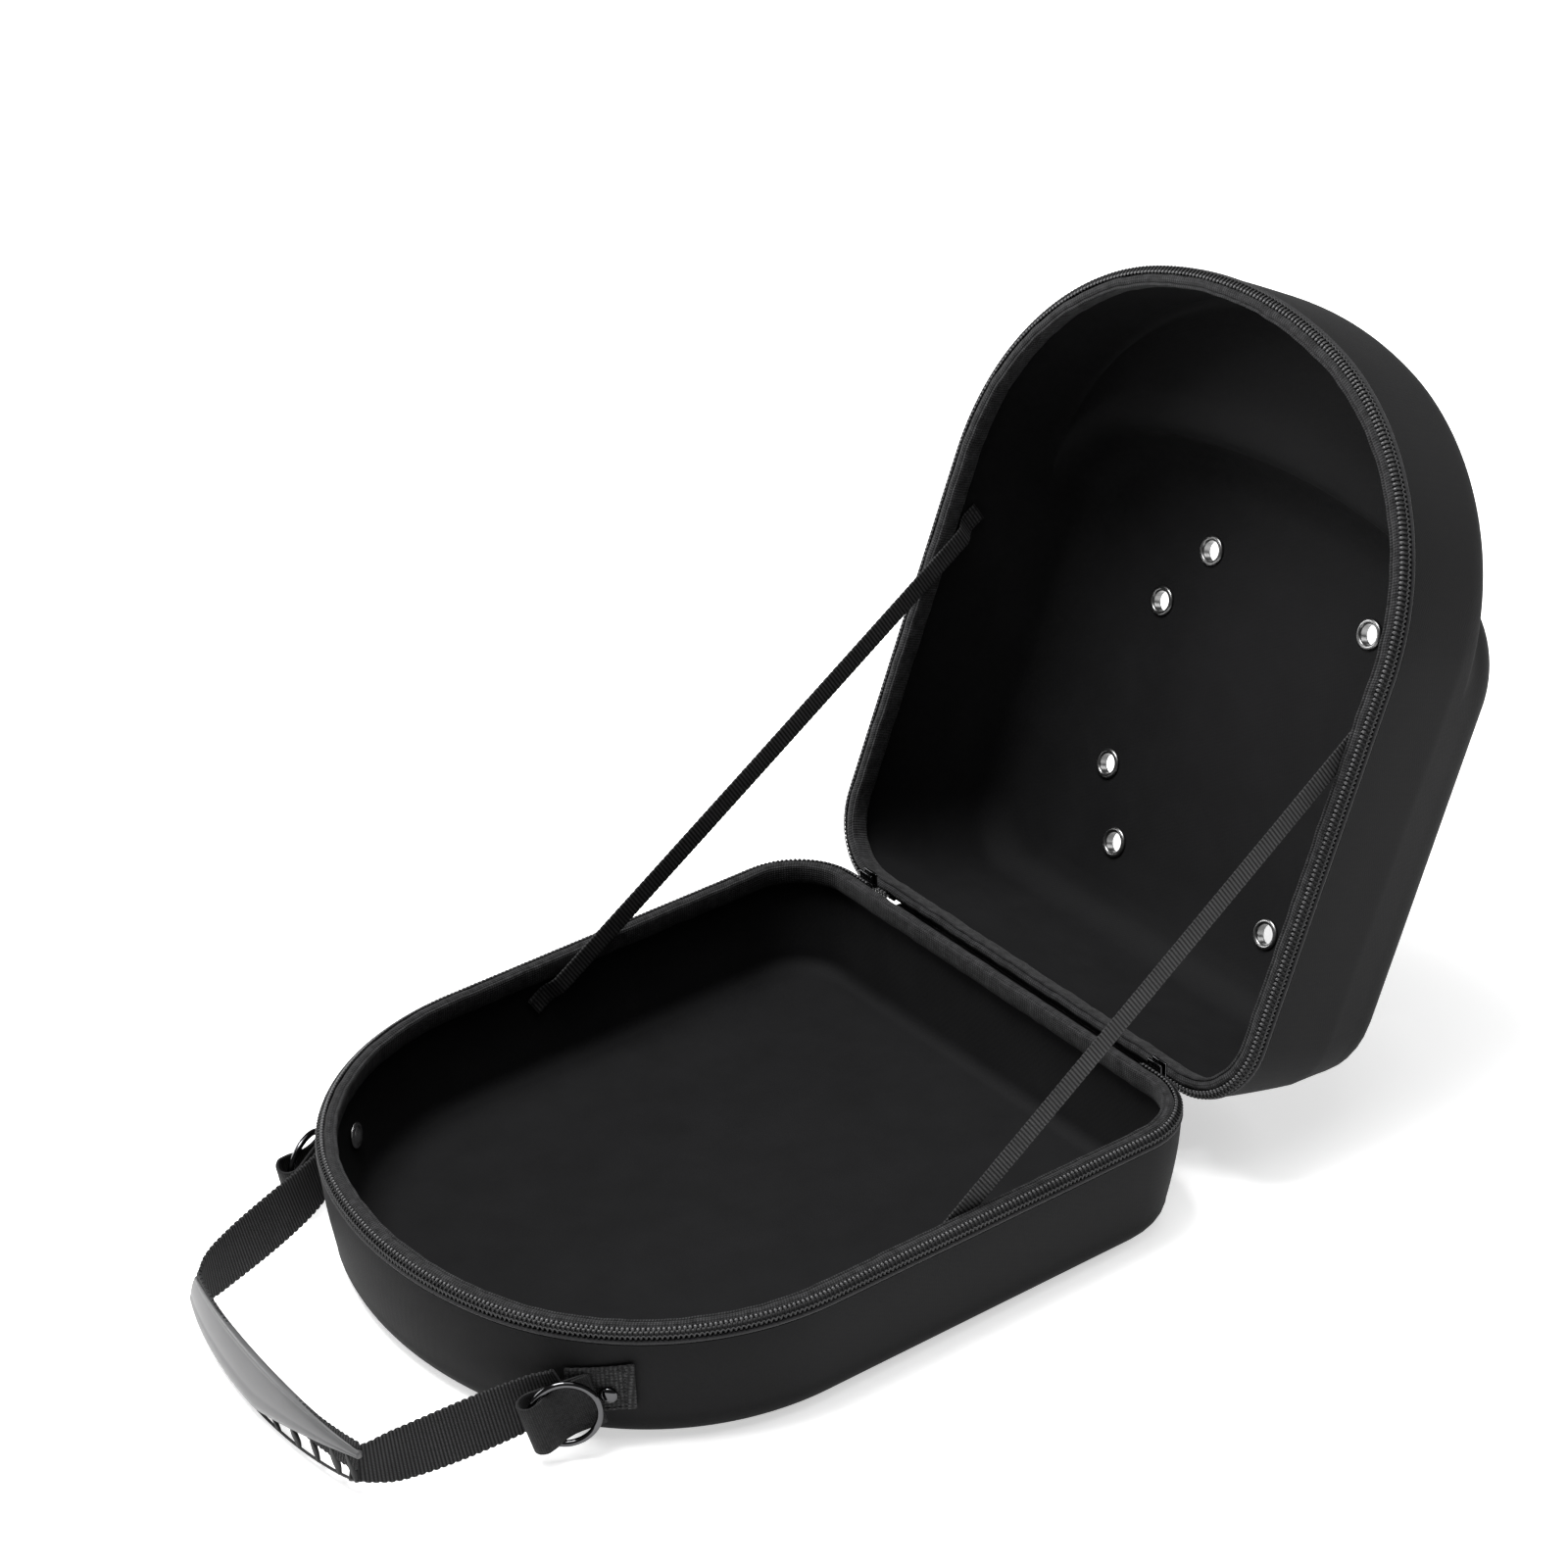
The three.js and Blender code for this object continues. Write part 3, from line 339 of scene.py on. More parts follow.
def flat_face(rim, holes, count):
    """Triangles that fill a flat outline round its holes. The rim's points come first, then each hole's."""
    points = np.concatenate([rim] + holes)
    edges = [(i, (i + 1) % len(rim)) for i in range(len(rim))]
    for h in range(len(holes)):
        start = len(rim) + h * count
        edges += [(start + j, start + (j + 1) % count) for j in range(count)]
    _, _, faces, origin, _, _ = delaunay_2d_cdt([Vector(p) for p in points], edges, [], 1, 1e-7)
    names = [o[0] for o in origin]
    kept = []
    for f in faces:
        ids = [names[i] for i in f]
        held = {(i - len(rim)) // count if i >= len(rim) else -1 for i in ids}
        if len(held) > 1 or -1 in held:
            kept.append(tuple(ids))
    return kept


def cup(rings, wall, holes=()):
    """A closed shell of even wall from its outer rings, from rim to face, with holes through its face."""
    n, m = len(rings), len(rings[0])
    skin = list(rings)
    if not holes:
        skin.append(np.array([[0, rings[-1][:, 1].mean(), rings[-1][0, 2]]]))
    outer = np.concatenate(skin)
    _, faces = loft(np.array(rings), caps=False)
    fan = [((n - 1) * m + j, (n - 1) * m + (j + 1) % m, n * m) for j in range(m)] if not holes else []
    normal = np.zeros_like(outer)
    for f in faces + fan:
        p = outer[list(f)]
        area = np.cross(p[1] - p[0], p[2] - p[0])
        for i in f:
            normal[i] += area
    length = np.linalg.norm(normal, axis=1)
    for i in range(m, n * m):
        if length[i] < 1e-3:
            normal[i] = normal[i - m]
    normal *= np.sign(np.dot(normal[0], outer[0]))
    normal[:m, 2] = 0
    normal[(n - 1) * m:, :2] = 0
    normal = unit(normal)
    inner = outer - normal * wall
    count = len(outer)
    every = faces + fan
    every += [tuple(i + count for i in f[::-1]) for f in every]
    every += [(j + count, (j + 1) % m + count, (j + 1) % m, j) for j in range(m)]
    points = [outer, inner]
    if holes:
        sides = len(holes[0])
        first = 2 * count
        for level, shift in ((outer, 0), (inner, count)):
            rim = level[-m:]
            start = first + (0 if shift == 0 else sides * len(holes))
            fill = flat_face(rim[:, :2], holes, sides)
            every += [tuple(i + shift + count - m if i < m else i - m + start for i in f) for f in fill]
            for h in holes:
                points.append(at_depth(h, -rim[0, 2]))
        for h in range(len(holes)):
            a, b = first + h * sides, first + (h + len(holes)) * sides
            every += [(a + j, a + (j + 1) % sides, b + (j + 1) % sides, b + j) for j in range(sides)]
    return np.concatenate(points), every


# Shells
def tray_inset(depth):
    share = np.clip((depth - RIM_BAND) / (TRAY_HEIGHT - RIM_BAND - TRAY_ROUND), 0, 1)
    return TRAY_TAPER * share**1.53


def tray_rings():
    wall_end = TRAY_HEIGHT - TRAY_ROUND
    rings = [ring(mould_shape(float(tray_inset(d))), d) for d in np.linspace(RIM_BAND, wall_end, 12)]
    for a in np.linspace(0, np.pi / 2, 11)[1:]:
        inset = TRAY_TAPER + TRAY_ROUND * (1 - math.cos(a))
        rings.append(ring(mould_shape(inset), TRAY_HEIGHT - TRAY_ROUND * (1 - math.sin(a))))
    return rings + [rings[-1] * [share, share, 1] for share in (0.93, 0.8, 0.62, 0.45, 0.25)]


# Lid wall as shares of depth and taper, shelf edge as shares of rise and foot, and rings between sections
LID_WALL_ROWS = ((0, 0), (0.3, 0.12), (1, 0.5))
STEP_ROWS = ((0, 1), (0.1, 0.6), (0.38, 0.24), (1, 0))
LID_RINGS = (6, 8, 3, 3, 3, 3, 14, 4, 4, 5, 3, 3, 3, 3)


def lid_inset(depth):
    share = np.clip((depth - RIM_BAND) / (LID_SHALLOW - LID_ARCH_ROUND - RIM_BAND), 0, 1)
    return LID_TAPER * np.interp(share, *np.transpose(LID_WALL_ROWS))


def lid_rows():
    """Depth, side inset, arch inset, arch radius and shoulder radius of the lid's main sections."""
    rows = []
    wall = LID_SHALLOW - LID_ARCH_ROUND - RIM_BAND
    wall_end = LID_TAPER * LID_WALL_ROWS[-1][1]
    upright_end = LID_DEPTH - LID_ROUND
    start = LID_SHALLOW - LID_ARCH_ROUND

    def taper(depth):
        return wall_end + (LID_TAPER - wall_end) * ((depth - start) / (upright_end - start))

    for down, share in LID_WALL_ROWS:
        inset = LID_TAPER * share
        rows.append((RIM_BAND + wall * down, inset, inset, ARCH_RADIUS - inset, SHOULDER_RADIUS - inset))
    for a in np.linspace(0, np.pi / 2, 5)[1:]:
        depth = LID_SHALLOW - LID_ARCH_ROUND * (1 - math.sin(a))
        side = taper(depth)
        arch = wall_end + LID_ARCH_ROUND * (1 - math.cos(a))
        rows.append((depth, side, arch, ARCH_RADIUS - arch, SHOULDER_RADIUS - (arch + side) / 2))
    for rise, reach in STEP_ROWS:
        depth = LID_SHALLOW + (upright_end - LID_SHALLOW) * rise
        back = STEP_FOOT * reach
        rows.append((depth, taper(depth), STEP_FROM_ARCH - back, STEP_CROWN + back, STEP_SHOULDER + back))
    for a in np.linspace(0, np.pi / 2, 5)[1:]:
        inset = LID_ROUND * (1 - math.cos(a))
        depth = LID_DEPTH - LID_ROUND * (1 - math.sin(a))
        arch = STEP_FROM_ARCH + inset
        rows.append((depth, LID_TAPER + inset, arch, STEP_CROWN - inset, STEP_SHOULDER - inset))
    return np.array(rows)


def lid_rings():
    rows = lid_rows()
    at = [0.0]
    for i, count in enumerate(LID_RINGS):
        at.extend(i + (k + 1) / count for k in range(count))
    fine = monotone(np.arange(len(rows)), rows, np.array(at))
    rings = []
    for depth, side, arch, arch_radius, shoulder_radius in fine:
        base = mould_shape(side)
        shape = (base[0], HALF_LENGTH - arch, base[2], arch_radius, shoulder_radius, base[5])
        rings.append(ring(shape, depth))
    return rings


# Materials
GRAIN_DEPTH = 0.0002
WALE_DEPTH = 0.0001
RIB_DEPTH = 0.00025
GLOSS_SPAN = 0.07
# Painted light: how much lighter than its base colour the top of each webbing rib is painted
RIB_TOP_PAINTED_LIGHT = 1.3


def node(tree, kind, **values):
    """A shader node with its sockets and settings given by name."""
    n = tree.nodes.new(kind)
    for key, value in values.items():
        if key in n.inputs:
            n.inputs[key].default_value = value
        else:
            setattr(n, key, value)
    return n


def mapped(tree, value, low, high, start=0.0, end=1.0):
    """A value carried from the range of start to end to the range of low to high."""
    ramp = tree.nodes.new("ShaderNodeMapRange")
    for key, number in (("From Min", start), ("From Max", end), ("To Min", low), ("To Max", high)):
        ramp.inputs[key].default_value = number
    tree.links.new(value, ramp.inputs["Value"])
    return ramp.outputs["Result"]


def raised(tree, height, strength, distance, under=None):
    """The normal of a relief, laid over another relief where one is given."""
    relief = node(tree, "ShaderNodeBump", Strength=strength, Distance=distance)
    tree.links.new(height, relief.inputs["Height"])
    if under is not None:
        tree.links.new(under, relief.inputs["Normal"])
    return relief.outputs["Normal"]


def material(name, colour, rough, metal=0.0, sheen=0.0, coat=0.0, specular=0.5):
    m = bpy.data.materials.new(name)
    m.use_nodes = True
    shader = m.node_tree.nodes["Principled BSDF"]
    shader.inputs["Base Color"].default_value = (*colour, 1)
    shader.inputs["Roughness"].default_value = rough
    shader.inputs["Metallic"].default_value = metal
    shader.inputs["Sheen Weight"].default_value = sheen
    shader.inputs["Coat Weight"].default_value = coat
    shader.inputs["Specular IOR Level"].default_value = specular
    return m, m.node_tree, shader


def grained(name, colour, rough, fine=900.0, bump=0.25, vary=0.18, fleck=45.0, **more):
    """A cloth or plastic with fine grain and slow changes of tone and gloss."""
    m, tree, shader = material(name, colour, rough, **more)
    link = tree.links.new
    place = tree.nodes.new("ShaderNodeTexCoord").outputs["Object"]
    flecks = node(tree, "ShaderNodeTexNoise", Scale=fleck, Detail=5.0, Roughness=0.6)
    link(place, flecks.inputs["Vector"])
    tone = node(tree, "ShaderNodeVectorMath", operation="SCALE")
    tone.inputs[0].default_value = colour
    link(mapped(tree, flecks.outputs["Fac"], 1 - vary, 1 + vary, 0.3, 0.7), tone.inputs["Scale"])
    link(tone.outputs["Vector"], shader.inputs["Base Color"])
    gloss = mapped(tree, flecks.outputs["Fac"], max(rough - GLOSS_SPAN, 0), min(rough + GLOSS_SPAN, 1))
    link(gloss, shader.inputs["Roughness"])
    grain = node(tree, "ShaderNodeTexNoise", Scale=fine, Detail=3.0, Roughness=0.65)
    link(place, grain.inputs["Vector"])
    relief = raised(tree, grain.outputs["Fac"], bump, GRAIN_DEPTH)
    link(relief, shader.inputs["Normal"])
    return m, tree, shader, relief


def knit(name, colour, rough, pitch=0.55, bump=0.3, **more):
    """A laminated knit cloth: crossed fine wales over the grain, placed by the object's own axes."""
    m, tree, shader, relief = grained(name, colour, rough, fine=1500.0, bump=0.35, **more)
    link = tree.links.new
    place = tree.nodes.new("ShaderNodeTexCoord").outputs["Object"]
    crossing = node(tree, "ShaderNodeMath", operation="MULTIPLY")
    for k, turn in enumerate(((0.6, 0.4, 0.0), (-0.5, 0.7, 1.1))):
        mapping = tree.nodes.new("ShaderNodeMapping")
        mapping.inputs["Rotation"].default_value = turn
        link(place, mapping.inputs["Vector"])
        wave = node(tree, "ShaderNodeTexWave", Scale=1000 / pitch / 2 / math.pi, Distortion=1.5, Detail=1.0)
        wave.inputs["Detail Scale"].default_value = 2.0
        link(mapping.outputs["Vector"], wave.inputs["Vector"])
        link(wave.outputs["Fac"], crossing.inputs[k])
    link(raised(tree, crossing.outputs["Value"], bump, WALE_DEPTH, relief), shader.inputs["Normal"])
    return m


def woven(name, colour, rough, rib, thread, bump=0.5, groove_painted_shade=0.55, **more):
    """Webbing: ribs across its length and threads along it, as bumps, with the base colour darkened in the
    grooves as painted shade and lightened on the rib tops as painted light. UV is in millimetres.
    """
    m, tree, shader, relief = grained(name, colour, rough, fine=1800.0, bump=0.4, **more)
    link = tree.links.new
    uv = tree.nodes.new("ShaderNodeUVMap")
    uv.uv_map = UV_NAME
    parts = tree.nodes.new("ShaderNodeSeparateXYZ")
    link(uv.outputs["UV"], parts.inputs["Vector"])
    crossing = node(tree, "ShaderNodeMath", operation="MULTIPLY")
    waves = []
    for k, (axis, pitch) in enumerate((("X", rib), ("Y", thread))):
        turn = node(tree, "ShaderNodeMath", operation="MULTIPLY")
        turn.inputs[1].default_value = 2 * math.pi / pitch
        link(parts.outputs[axis], turn.inputs[0])
        wave = node(tree, "ShaderNodeMath", operation="COSINE")
        link(turn.outputs["Value"], wave.inputs[0])
        waves.append(mapped(tree, wave.outputs["Value"], 0, 1, start=-1))
        link(waves[k], crossing.inputs[k])
    link(raised(tree, crossing.outputs["Value"], bump, RIB_DEPTH, relief), shader.inputs["Normal"])
    # Painted shade and light: the base colour follows the rib wave, from the groove value in the grooves up
    # to the rib top value
    painted_rib_shading = node(tree, "ShaderNodeVectorMath", operation="SCALE")
    link(shader.inputs["Base Color"].links[0].from_socket, painted_rib_shading.inputs[0])
    link(mapped(tree, waves[0], groove_painted_shade, RIB_TOP_PAINTED_LIGHT), painted_rib_shading.inputs["Scale"])
    link(painted_rib_shading.outputs["Vector"], shader.inputs["Base Color"])
    return m


SHELL = knit("shell_cloth", (0.0056, 0.0056, 0.006), 0.72, sheen=0.02, specular=0.1)
# The dark value of each woven material is the painted shade in its grooves
BINDING = woven(
    "binding_tape", (0.022, 0.022, 0.023), 0.85, 1.3, 1.2,
    bump=1.2, groove_painted_shade=0.3, vary=0.7, fleck=320, sheen=0.06, specular=0.2,
)
WEBBING = woven(
    "handle_webbing", (0.03, 0.03, 0.031), 0.75, WEB_PITCH, 0.9,
    bump=0.9, groove_painted_shade=0.03, sheen=0.04, specular=0.15,
)
STAY_WEB = woven(
    "stay_webbing", (0.05, 0.05, 0.051), 0.75, STAY_PITCH, 0.8,
    bump=0.9, groove_painted_shade=0.02, sheen=0.04, specular=0.15,
)
PATCH = woven(
    "patch_webbing", (0.022, 0.022, 0.0225), 0.9, PATCH_PITCH, 1.7,
    bump=1.2, groove_painted_shade=0.45, vary=0.8, fleck=700, sheen=0.05, specular=0.15,
)
LOOP = woven(
    "loop_tape", (0.014, 0.014, 0.0145), 0.75, 0.9, 0.9,
    bump=0.6, groove_painted_shade=0.6, vary=0.5, fleck=700, sheen=0.04, specular=0.15,
)


def plain(name, colour, rough, **more):
    return grained(name, colour, rough, **more)[0]


COIL = plain("zip_coil", (0.01, 0.01, 0.0105), 0.4, fine=500.0, bump=0.1, vary=0.1, specular=0.3)
# Painted highlight: the heads of the coil's turns are a lighter copy of the coil's black, standing in for
# the light caught on their tops
HEADS_PAINTED_HIGHLIGHT = plain("zip_heads_painted_highlight", (0.065, 0.065, 0.067), 0.3, fine=500.0, bump=0.1, vary=0.25)
ZIP_TAPE = plain("zip_tape", (0.002, 0.002, 0.0022), 0.95, fine=1500.0, bump=0.5, specular=0.05)
WELT = plain(
    "welt", (0.022, 0.022, 0.023), 0.75,
    fine=1500.0, bump=0.6, vary=0.3, fleck=500, sheen=0.06, specular=0.2,
)
THREAD = plain("thread", (0.035, 0.035, 0.036), 0.6, fine=2500.0, bump=0.5, specular=0.3)
SEAM = plain("seam_thread", (0.012, 0.012, 0.0125), 0.7, fine=2500.0, bump=0.5, specular=0.2)
GUNMETAL = plain("black_nickel", (0.075, 0.075, 0.078), 0.1, fine=300.0, bump=0.03, vary=0.08, metal=1.0)
NICKEL = plain("nickel", (0.2, 0.2, 0.2), 0.3, fine=300.0, bump=0.03, vary=0.06, metal=1.0)
CAP_METAL = plain("cap_metal", (0.95, 0.95, 0.95), 0.25, fine=300.0, bump=0.03, vary=0.06, metal=1.0)
# Partly painted highlight: the moulding's own tone is as dark as its ribs, and its grey base colour is
# raised above that as painted glare on its face
GRIP_WITH_PAINTED_GLARE = plain("grip_moulding_painted_glare", (0.085, 0.085, 0.087), 0.42, fine=700.0, bump=0.06, vary=0.12, coat=0.1)
GRIP_DARK = plain("grip_ribs", (0.005, 0.005, 0.0052), 0.6, fine=700.0, bump=0.08, vary=0.1)


# Tray and lid shells
tray = make("tray_shell_cloth", cup(tray_rings(), TRAY_WALL), SHELL, ["tray_shell"], TRAY)

disc = ellipse(EYELET_HOLE, EYELET_HOLE, 32)
holes = [disc + [sign * side, along] for sign in (1, -1) for side, along in EYELETS.values()]
shape = cup(lid_rings(), LID_WALL, holes)
lid = make("lid_shell_cloth", shape, SHELL, ["lid_shell"], LID, weld=True)
for piece in (tray, lid):
    piece.data.set_sharp_from_angle(angle=math.radians(50))


# Rim: binding, coil, tape and welt
RIM_STEPS = (40, 60, 30, 14, 30)
COIL_SIZE = (2.1, 0.8)
COIL_WIRE = (0.5, 0.4)
HEAD_ROWS = ((-0.95, 0.2), (-0.65, 0.62), (0, 0.8), (0.75, 0.6), (1.5, 0.15))
TAPE_FOLD = ((2.55, 1.6), (2.6, 6.5), (1.6, 6.95), (0.45, 6.95), (0.3, 6.4), (0.9, 3.6), (1.2, 2.4))
WELT_LUMP = 1.3


def rim_path(inset, depth, closed, step):
    """A line round the rim at an inset and depth, with its outward direction. An open one spans the zip."""
    fine = outline(rim_shape(inset), RIM_STEPS)
    if not closed:
        zip_end = HALF_WIDTH - CORNER_RADIUS - ZIP_END_FROM_CORNER
        right = fine[: len(fine) // 2 + 1]
        right = right[~((right[:, 1] > HALF_LENGTH - inset - 0.01) & (right[:, 0] < zip_end))]
        right = np.concatenate([right, [[zip_end, HALF_LENGTH - inset]]])
        fine = np.concatenate([right[::-1], right[1:] * [-1, 1]])[::-1]
    line, s = resampled(fine, step=step, closed=closed)
    t = tangents(line, closed)
    out = np.stack([t[:, 1], -t[:, 0], np.zeros(len(t))], 1)
    if np.dot(out[len(out) // 3], [*line[len(out) // 3], 0]) < 0:
        out = -out
    return at_depth(line, depth), out, s


def band(profile, closed, step, wave=0.0, seed=1):
    """Rings of a profile of (inset, depth) points carried round the rim unevenly, and their places."""
    _, out, s = rim_path(0, 0, closed, step)
    noise = np.zeros(len(s))
    if wave:
        r = np.random.default_rng(seed)
        for cycles in (23, 37, 61, 97):
            noise += np.sin(2 * np.pi * cycles * s / s[-1] + r.uniform(0, 6.28)) * r.uniform(0.4, 1)
        noise *= wave / 2
    lines = [rim_path(inset, depth, closed, step)[0] for inset, depth in profile]
    rows = [resampled(line, count=len(s), closed=closed)[0] for line in lines]
    return np.stack(rows, 1) - out[:, None] * noise[:, None, None], s


def binding_piece(name, place, wall):
    """Edge binding folded over the rim, a closed profile with two soft rolls."""
    fold = [
        (3.3, 6.6), (3.2, 3.6), (3.3, 1.6), (3.7, 0.7), (4.4, 0.1), (5.4, -0.2), (6.3, -0.2), (6.9, 0.1),
        (7.25, 0.55), (7.55, 0.6), (7.8, 0.1), (8.3, -0.1), (8.8, 0.3), (9.0, 1.4), (8.95, 4.0), (8.8, 6.5),
        (8.4, 8.6), (7.8, 9.9), (7.0, 10.3), (wall + 1.2, 10.2), (wall + 0.9, 9.2), (wall + 0.9, 7.2),
    ]
    rings, s = band(fold, True, 1.6, wave=0.3, seed=len(name))
    uv = np.stack([np.repeat(s, len(fold)), np.tile(lengths(fold), len(s))], 1)
    make(f"{name}_binding_fold", loft(rings, True), BINDING, [f"{name}_binding"], place, uv)


def coil_pieces(name, place):
    """Half a coil zip: the wound wire on its core, the heads of its turns and the stitches that hold it."""
    centre, out, s = rim_path(COIL_INSET, COIL_DEPTH, False, 0.65)
    along = tangents(centre)
    tilt = math.radians(COIL_TILT)
    wide = out * math.cos(tilt) - UP * math.sin(tilt)
    high = out * math.sin(tilt) + UP * math.cos(tilt)

    def on(phase):
        at = phase * COIL_PITCH
        lines = (centre, wide, high, along)
        return [np.stack([np.interp(at, s, line[:, k]) for k in range(3)], 1) for line in lines]

    turns = int(s[-1] / COIL_PITCH)
    phase = np.linspace(0, turns, turns * 12 + 1)
    c, w, h, a = on(phase)
    angle = 2 * np.pi * phase
    wire = c + w * (COIL_SIZE[0] * np.cos(angle))[:, None] + h * (COIL_SIZE[1] * np.sin(angle))[:, None]
    t = tangents(wire)
    u = unit(a - t * (a * t).sum(1, keepdims=True))
    coil = sweep(wire, u, np.cross(t, u), ellipse(*COIL_WIRE, 5))
    core = sweep(centre, wide, high, ellipse(1.3, 0.4, 8))
    make(f"{name}_zip_coil", merged([coil, core]), COIL, [f"{name}_zip"], place)

    c, w, h, a = on(np.arange(turns) + 0.42)
    size = np.array([row[1] for row in HEAD_ROWS])
    profile = ellipse(1, 0.85, 6)[None] * size[:, None, None]
    heads = []
    for k in range(turns):
        middle = c[k] - w[k] * 1.75 + h[k] * 0.35
        rows = [middle + w[k] * reach for reach, _ in HEAD_ROWS]
        heads.append(sweep(rows, a[k], h[k], profile))
    # The heads take the lighter copy of the coil colour, a painted highlight
    make(f"{name}_zip_heads_painted_highlight", merged(heads), HEADS_PAINTED_HIGHLIGHT, (), place)

    phase = np.linspace(0, turns, turns * 4 + 1)
    c, w, h, a = on(phase)
    point = 0.95 + 0.75 * np.abs(1 - 2 * (phase % 1))
    thread = c + w * point[:, None] + h * 0.95
    t = tangents(thread)
    u = unit(np.cross(t, h))
    shape = sweep(thread, u, np.cross(t, u), ellipse(0.3, 0.24, 5))
    make(f"{name}_coil_stitches", shape, THREAD, (), place)


def tape_pieces(name, place):
    """The zip's tape down the rim and the corded welt under it."""
    rings, _ = band(TAPE_FOLD, False, 3.0)
    make(f"{name}_zip_tape", loft(rings), ZIP_TAPE, (), place)

    centre, out, s = rim_path(0.35, 5.5, False, 0.33)
    radius = 1.0 + 0.12 * np.abs(np.cos(np.pi * s / WELT_LUMP))
    profile = ellipse(0.9, 1.05, 8)[None] * radius[:, None, None]
    make(f"{name}_welt", sweep(centre, out, UP, profile), WELT, (), place)


for name, place, wall in (("tray", TRAY, TRAY_WALL), ("lid", LID, LID_WALL)):
    binding_piece(name, place, wall)
    coil_pieces(name, place)
    tape_pieces(name, place)


# Eyelets
def lathe(profile, sides=40):
    """Rings of a turned piece from (radius, height) points."""
    return np.stack([at_depth(ellipse(r, r, sides), -z) for r, z in profile])


def eyelet_profile():
    """A rolled flange on each side of the wall and the barrel between them."""
    outer = -LID_DEPTH - GAP
    inner = -LID_DEPTH + LID_WALL + GAP
    roll = np.linspace(0, np.pi, 9)
    rows = [(6.1 - 1.3 * math.cos(a), outer - 1.2 * math.sin(a)) for a in roll]
    rows += [(5.5, outer + 0.15), (5.5, inner - 0.15)]
    rows += [(6.1 - 1.3 * math.cos(a), inner + 1.2 * math.sin(a)) for a in roll[::-1]]
    rows += [(4.8, inner - 0.6), (4.8, outer + 0.6)]
    return rows


for side_name, side in SIDES.items():
    for name, (across, along) in EYELETS.items():
        rings = lathe(eyelet_profile()) + [-side["sign"] * across, along, 0]
        node_name = f"eyelet_{name}_{side_name}"
        make(f"{node_name}_ring", loft(rings, True), NICKEL, [node_name], LID)


# Handle: anchors, loops, rings, straps and grip
def side_piece(side_name, node_name, detail, shape, mat, uv=None, replaces=True):
    """A piece built on the +X side and mirrored to its own. It replaces its node or is an extra on it."""
    points, faces = shape
    shape = (points * [SIDES[side_name]["sign"], 1, 1], faces)
    node_name = f"{node_name}_{side_name}"
    make(f"{node_name}_{detail}", shape, mat, [node_name] if replaces else (), uv=uv)


def wall_lean():
    low = tray_inset(TRAY_HEIGHT - RIVET_HEIGHT + WEB_WIDTH / 2)
    high = tray_inset(TRAY_HEIGHT - RIVET_HEIGHT - WEB_WIDTH / 2)
    return float(low - high) / WEB_WIDTH


class Anchor:
    """Where the handle is sewn on the +X side. Points lie ahead of the rivet, off the wall and at a z."""

    def __init__(self, turn):
        self.turn = math.radians(turn)
        shape = rim_shape(float(tray_inset(TRAY_HEIGHT - RIVET_HEIGHT)))
        self.x, self.y, _ = shoulder_of(shape)
        self.radius = shape[4]
        self.n = np.array([math.cos(self.turn), -math.sin(self.turn), 0])
        self.t = np.array([self.n[1], -self.n[0], 0])
        self.foot = self.at(0, 0, RIVET_HEIGHT)

    def at(self, ahead, off, z):
        angle = -self.turn - ahead / self.radius
        r = self.radius + off
        return np.array([self.x + r * math.cos(angle), self.y + r * math.sin(angle), z])

    def on_patch(self, ahead):
        """Middle of the webbing on the wall, its width direction and its outward direction."""
        z = min(RIVET_HEIGHT + PATCH_LIFT - PATCH_SLOPE * ahead, TRAY_HEIGHT - RIM_BAND - WEB_WIDTH / 2 - 1)
        lean = wall_lean()
        out = self.at(ahead, 1, z) - self.at(ahead, 0, z)
        middle = self.at(ahead, 0, z) + out * (GAP + WEB_THICK / 2 + (z - RIVET_HEIGHT) * lean)
        return middle, unit(np.array([0, 0, 1]) + out * lean), out

    def loop_axes(self):
        """Foot of the tape loop, and its directions along the tape, off its back ply and across it."""
        swing, tilt = math.radians(LOOP_SWING), math.radians(LOOP_TILT)
        down = self.t * math.cos(swing) - UP * math.sin(swing)
        w = self.t * math.sin(swing) + UP * math.cos(swing)
        u = down * math.cos(tilt) + self.n * math.sin(tilt)
        v = self.n * math.cos(tilt) - down * math.sin(tilt)
        return self.foot + down * LOOP_PINCH + self.n * LOOP_OFF, u, v, w


def ribbed(path, across, through, width, thick, pitch, depth=0.28, scallop=0.7, narrow=0.0):
    """Woven webbing with raised ribs and a wavy edge, and the UV of each point in millimetres."""
    s = lengths(path)
    base = rounded_bar(width, thick, 4, 8)
    rise = np.abs(np.sin(np.pi * s / pitch))
    edge = np.abs(np.sin(np.pi * s / pitch / 2))
    profile = np.tile(base, (len(s), 1, 1))
    profile[..., 1] *= (1 - depth + depth * rise)[:, None]
    profile[..., 0] *= (1 - scallop * (1 - edge) / (width / 2))[:, None]
    profile[..., 0] *= (1 - narrow * np.clip((s / s[-1] - 0.78) / 0.18, 0, 1) ** 2)[:, None]
    uv = np.stack([np.repeat(s, len(base)), np.tile(base[:, 0] + width / 2, len(s))], 1)
    return sweep(path, across, through, profile), uv


def grip_line(count):
    """Stations from the grip's right end to its left, with their three directions and distances."""
    first, last = [(side["sign"] * side["grip"][0], side["grip"][1]) for side in SIDES.values()]
    keys = [(x, -HALF_LENGTH - beyond, GRIP_HEIGHT) for x, beyond in (first, *GRIP_BOW, last)]
    line, s = resampled(bezier(*keys), count=count)
    along = tangents(line)
    lean = math.radians(GRIP_LEAN)
    across = np.array([0, math.sin(lean), math.cos(lean)])
    across = unit(across - along * (along @ across)[:, None])
    return line, along, across, np.cross(along, across), s


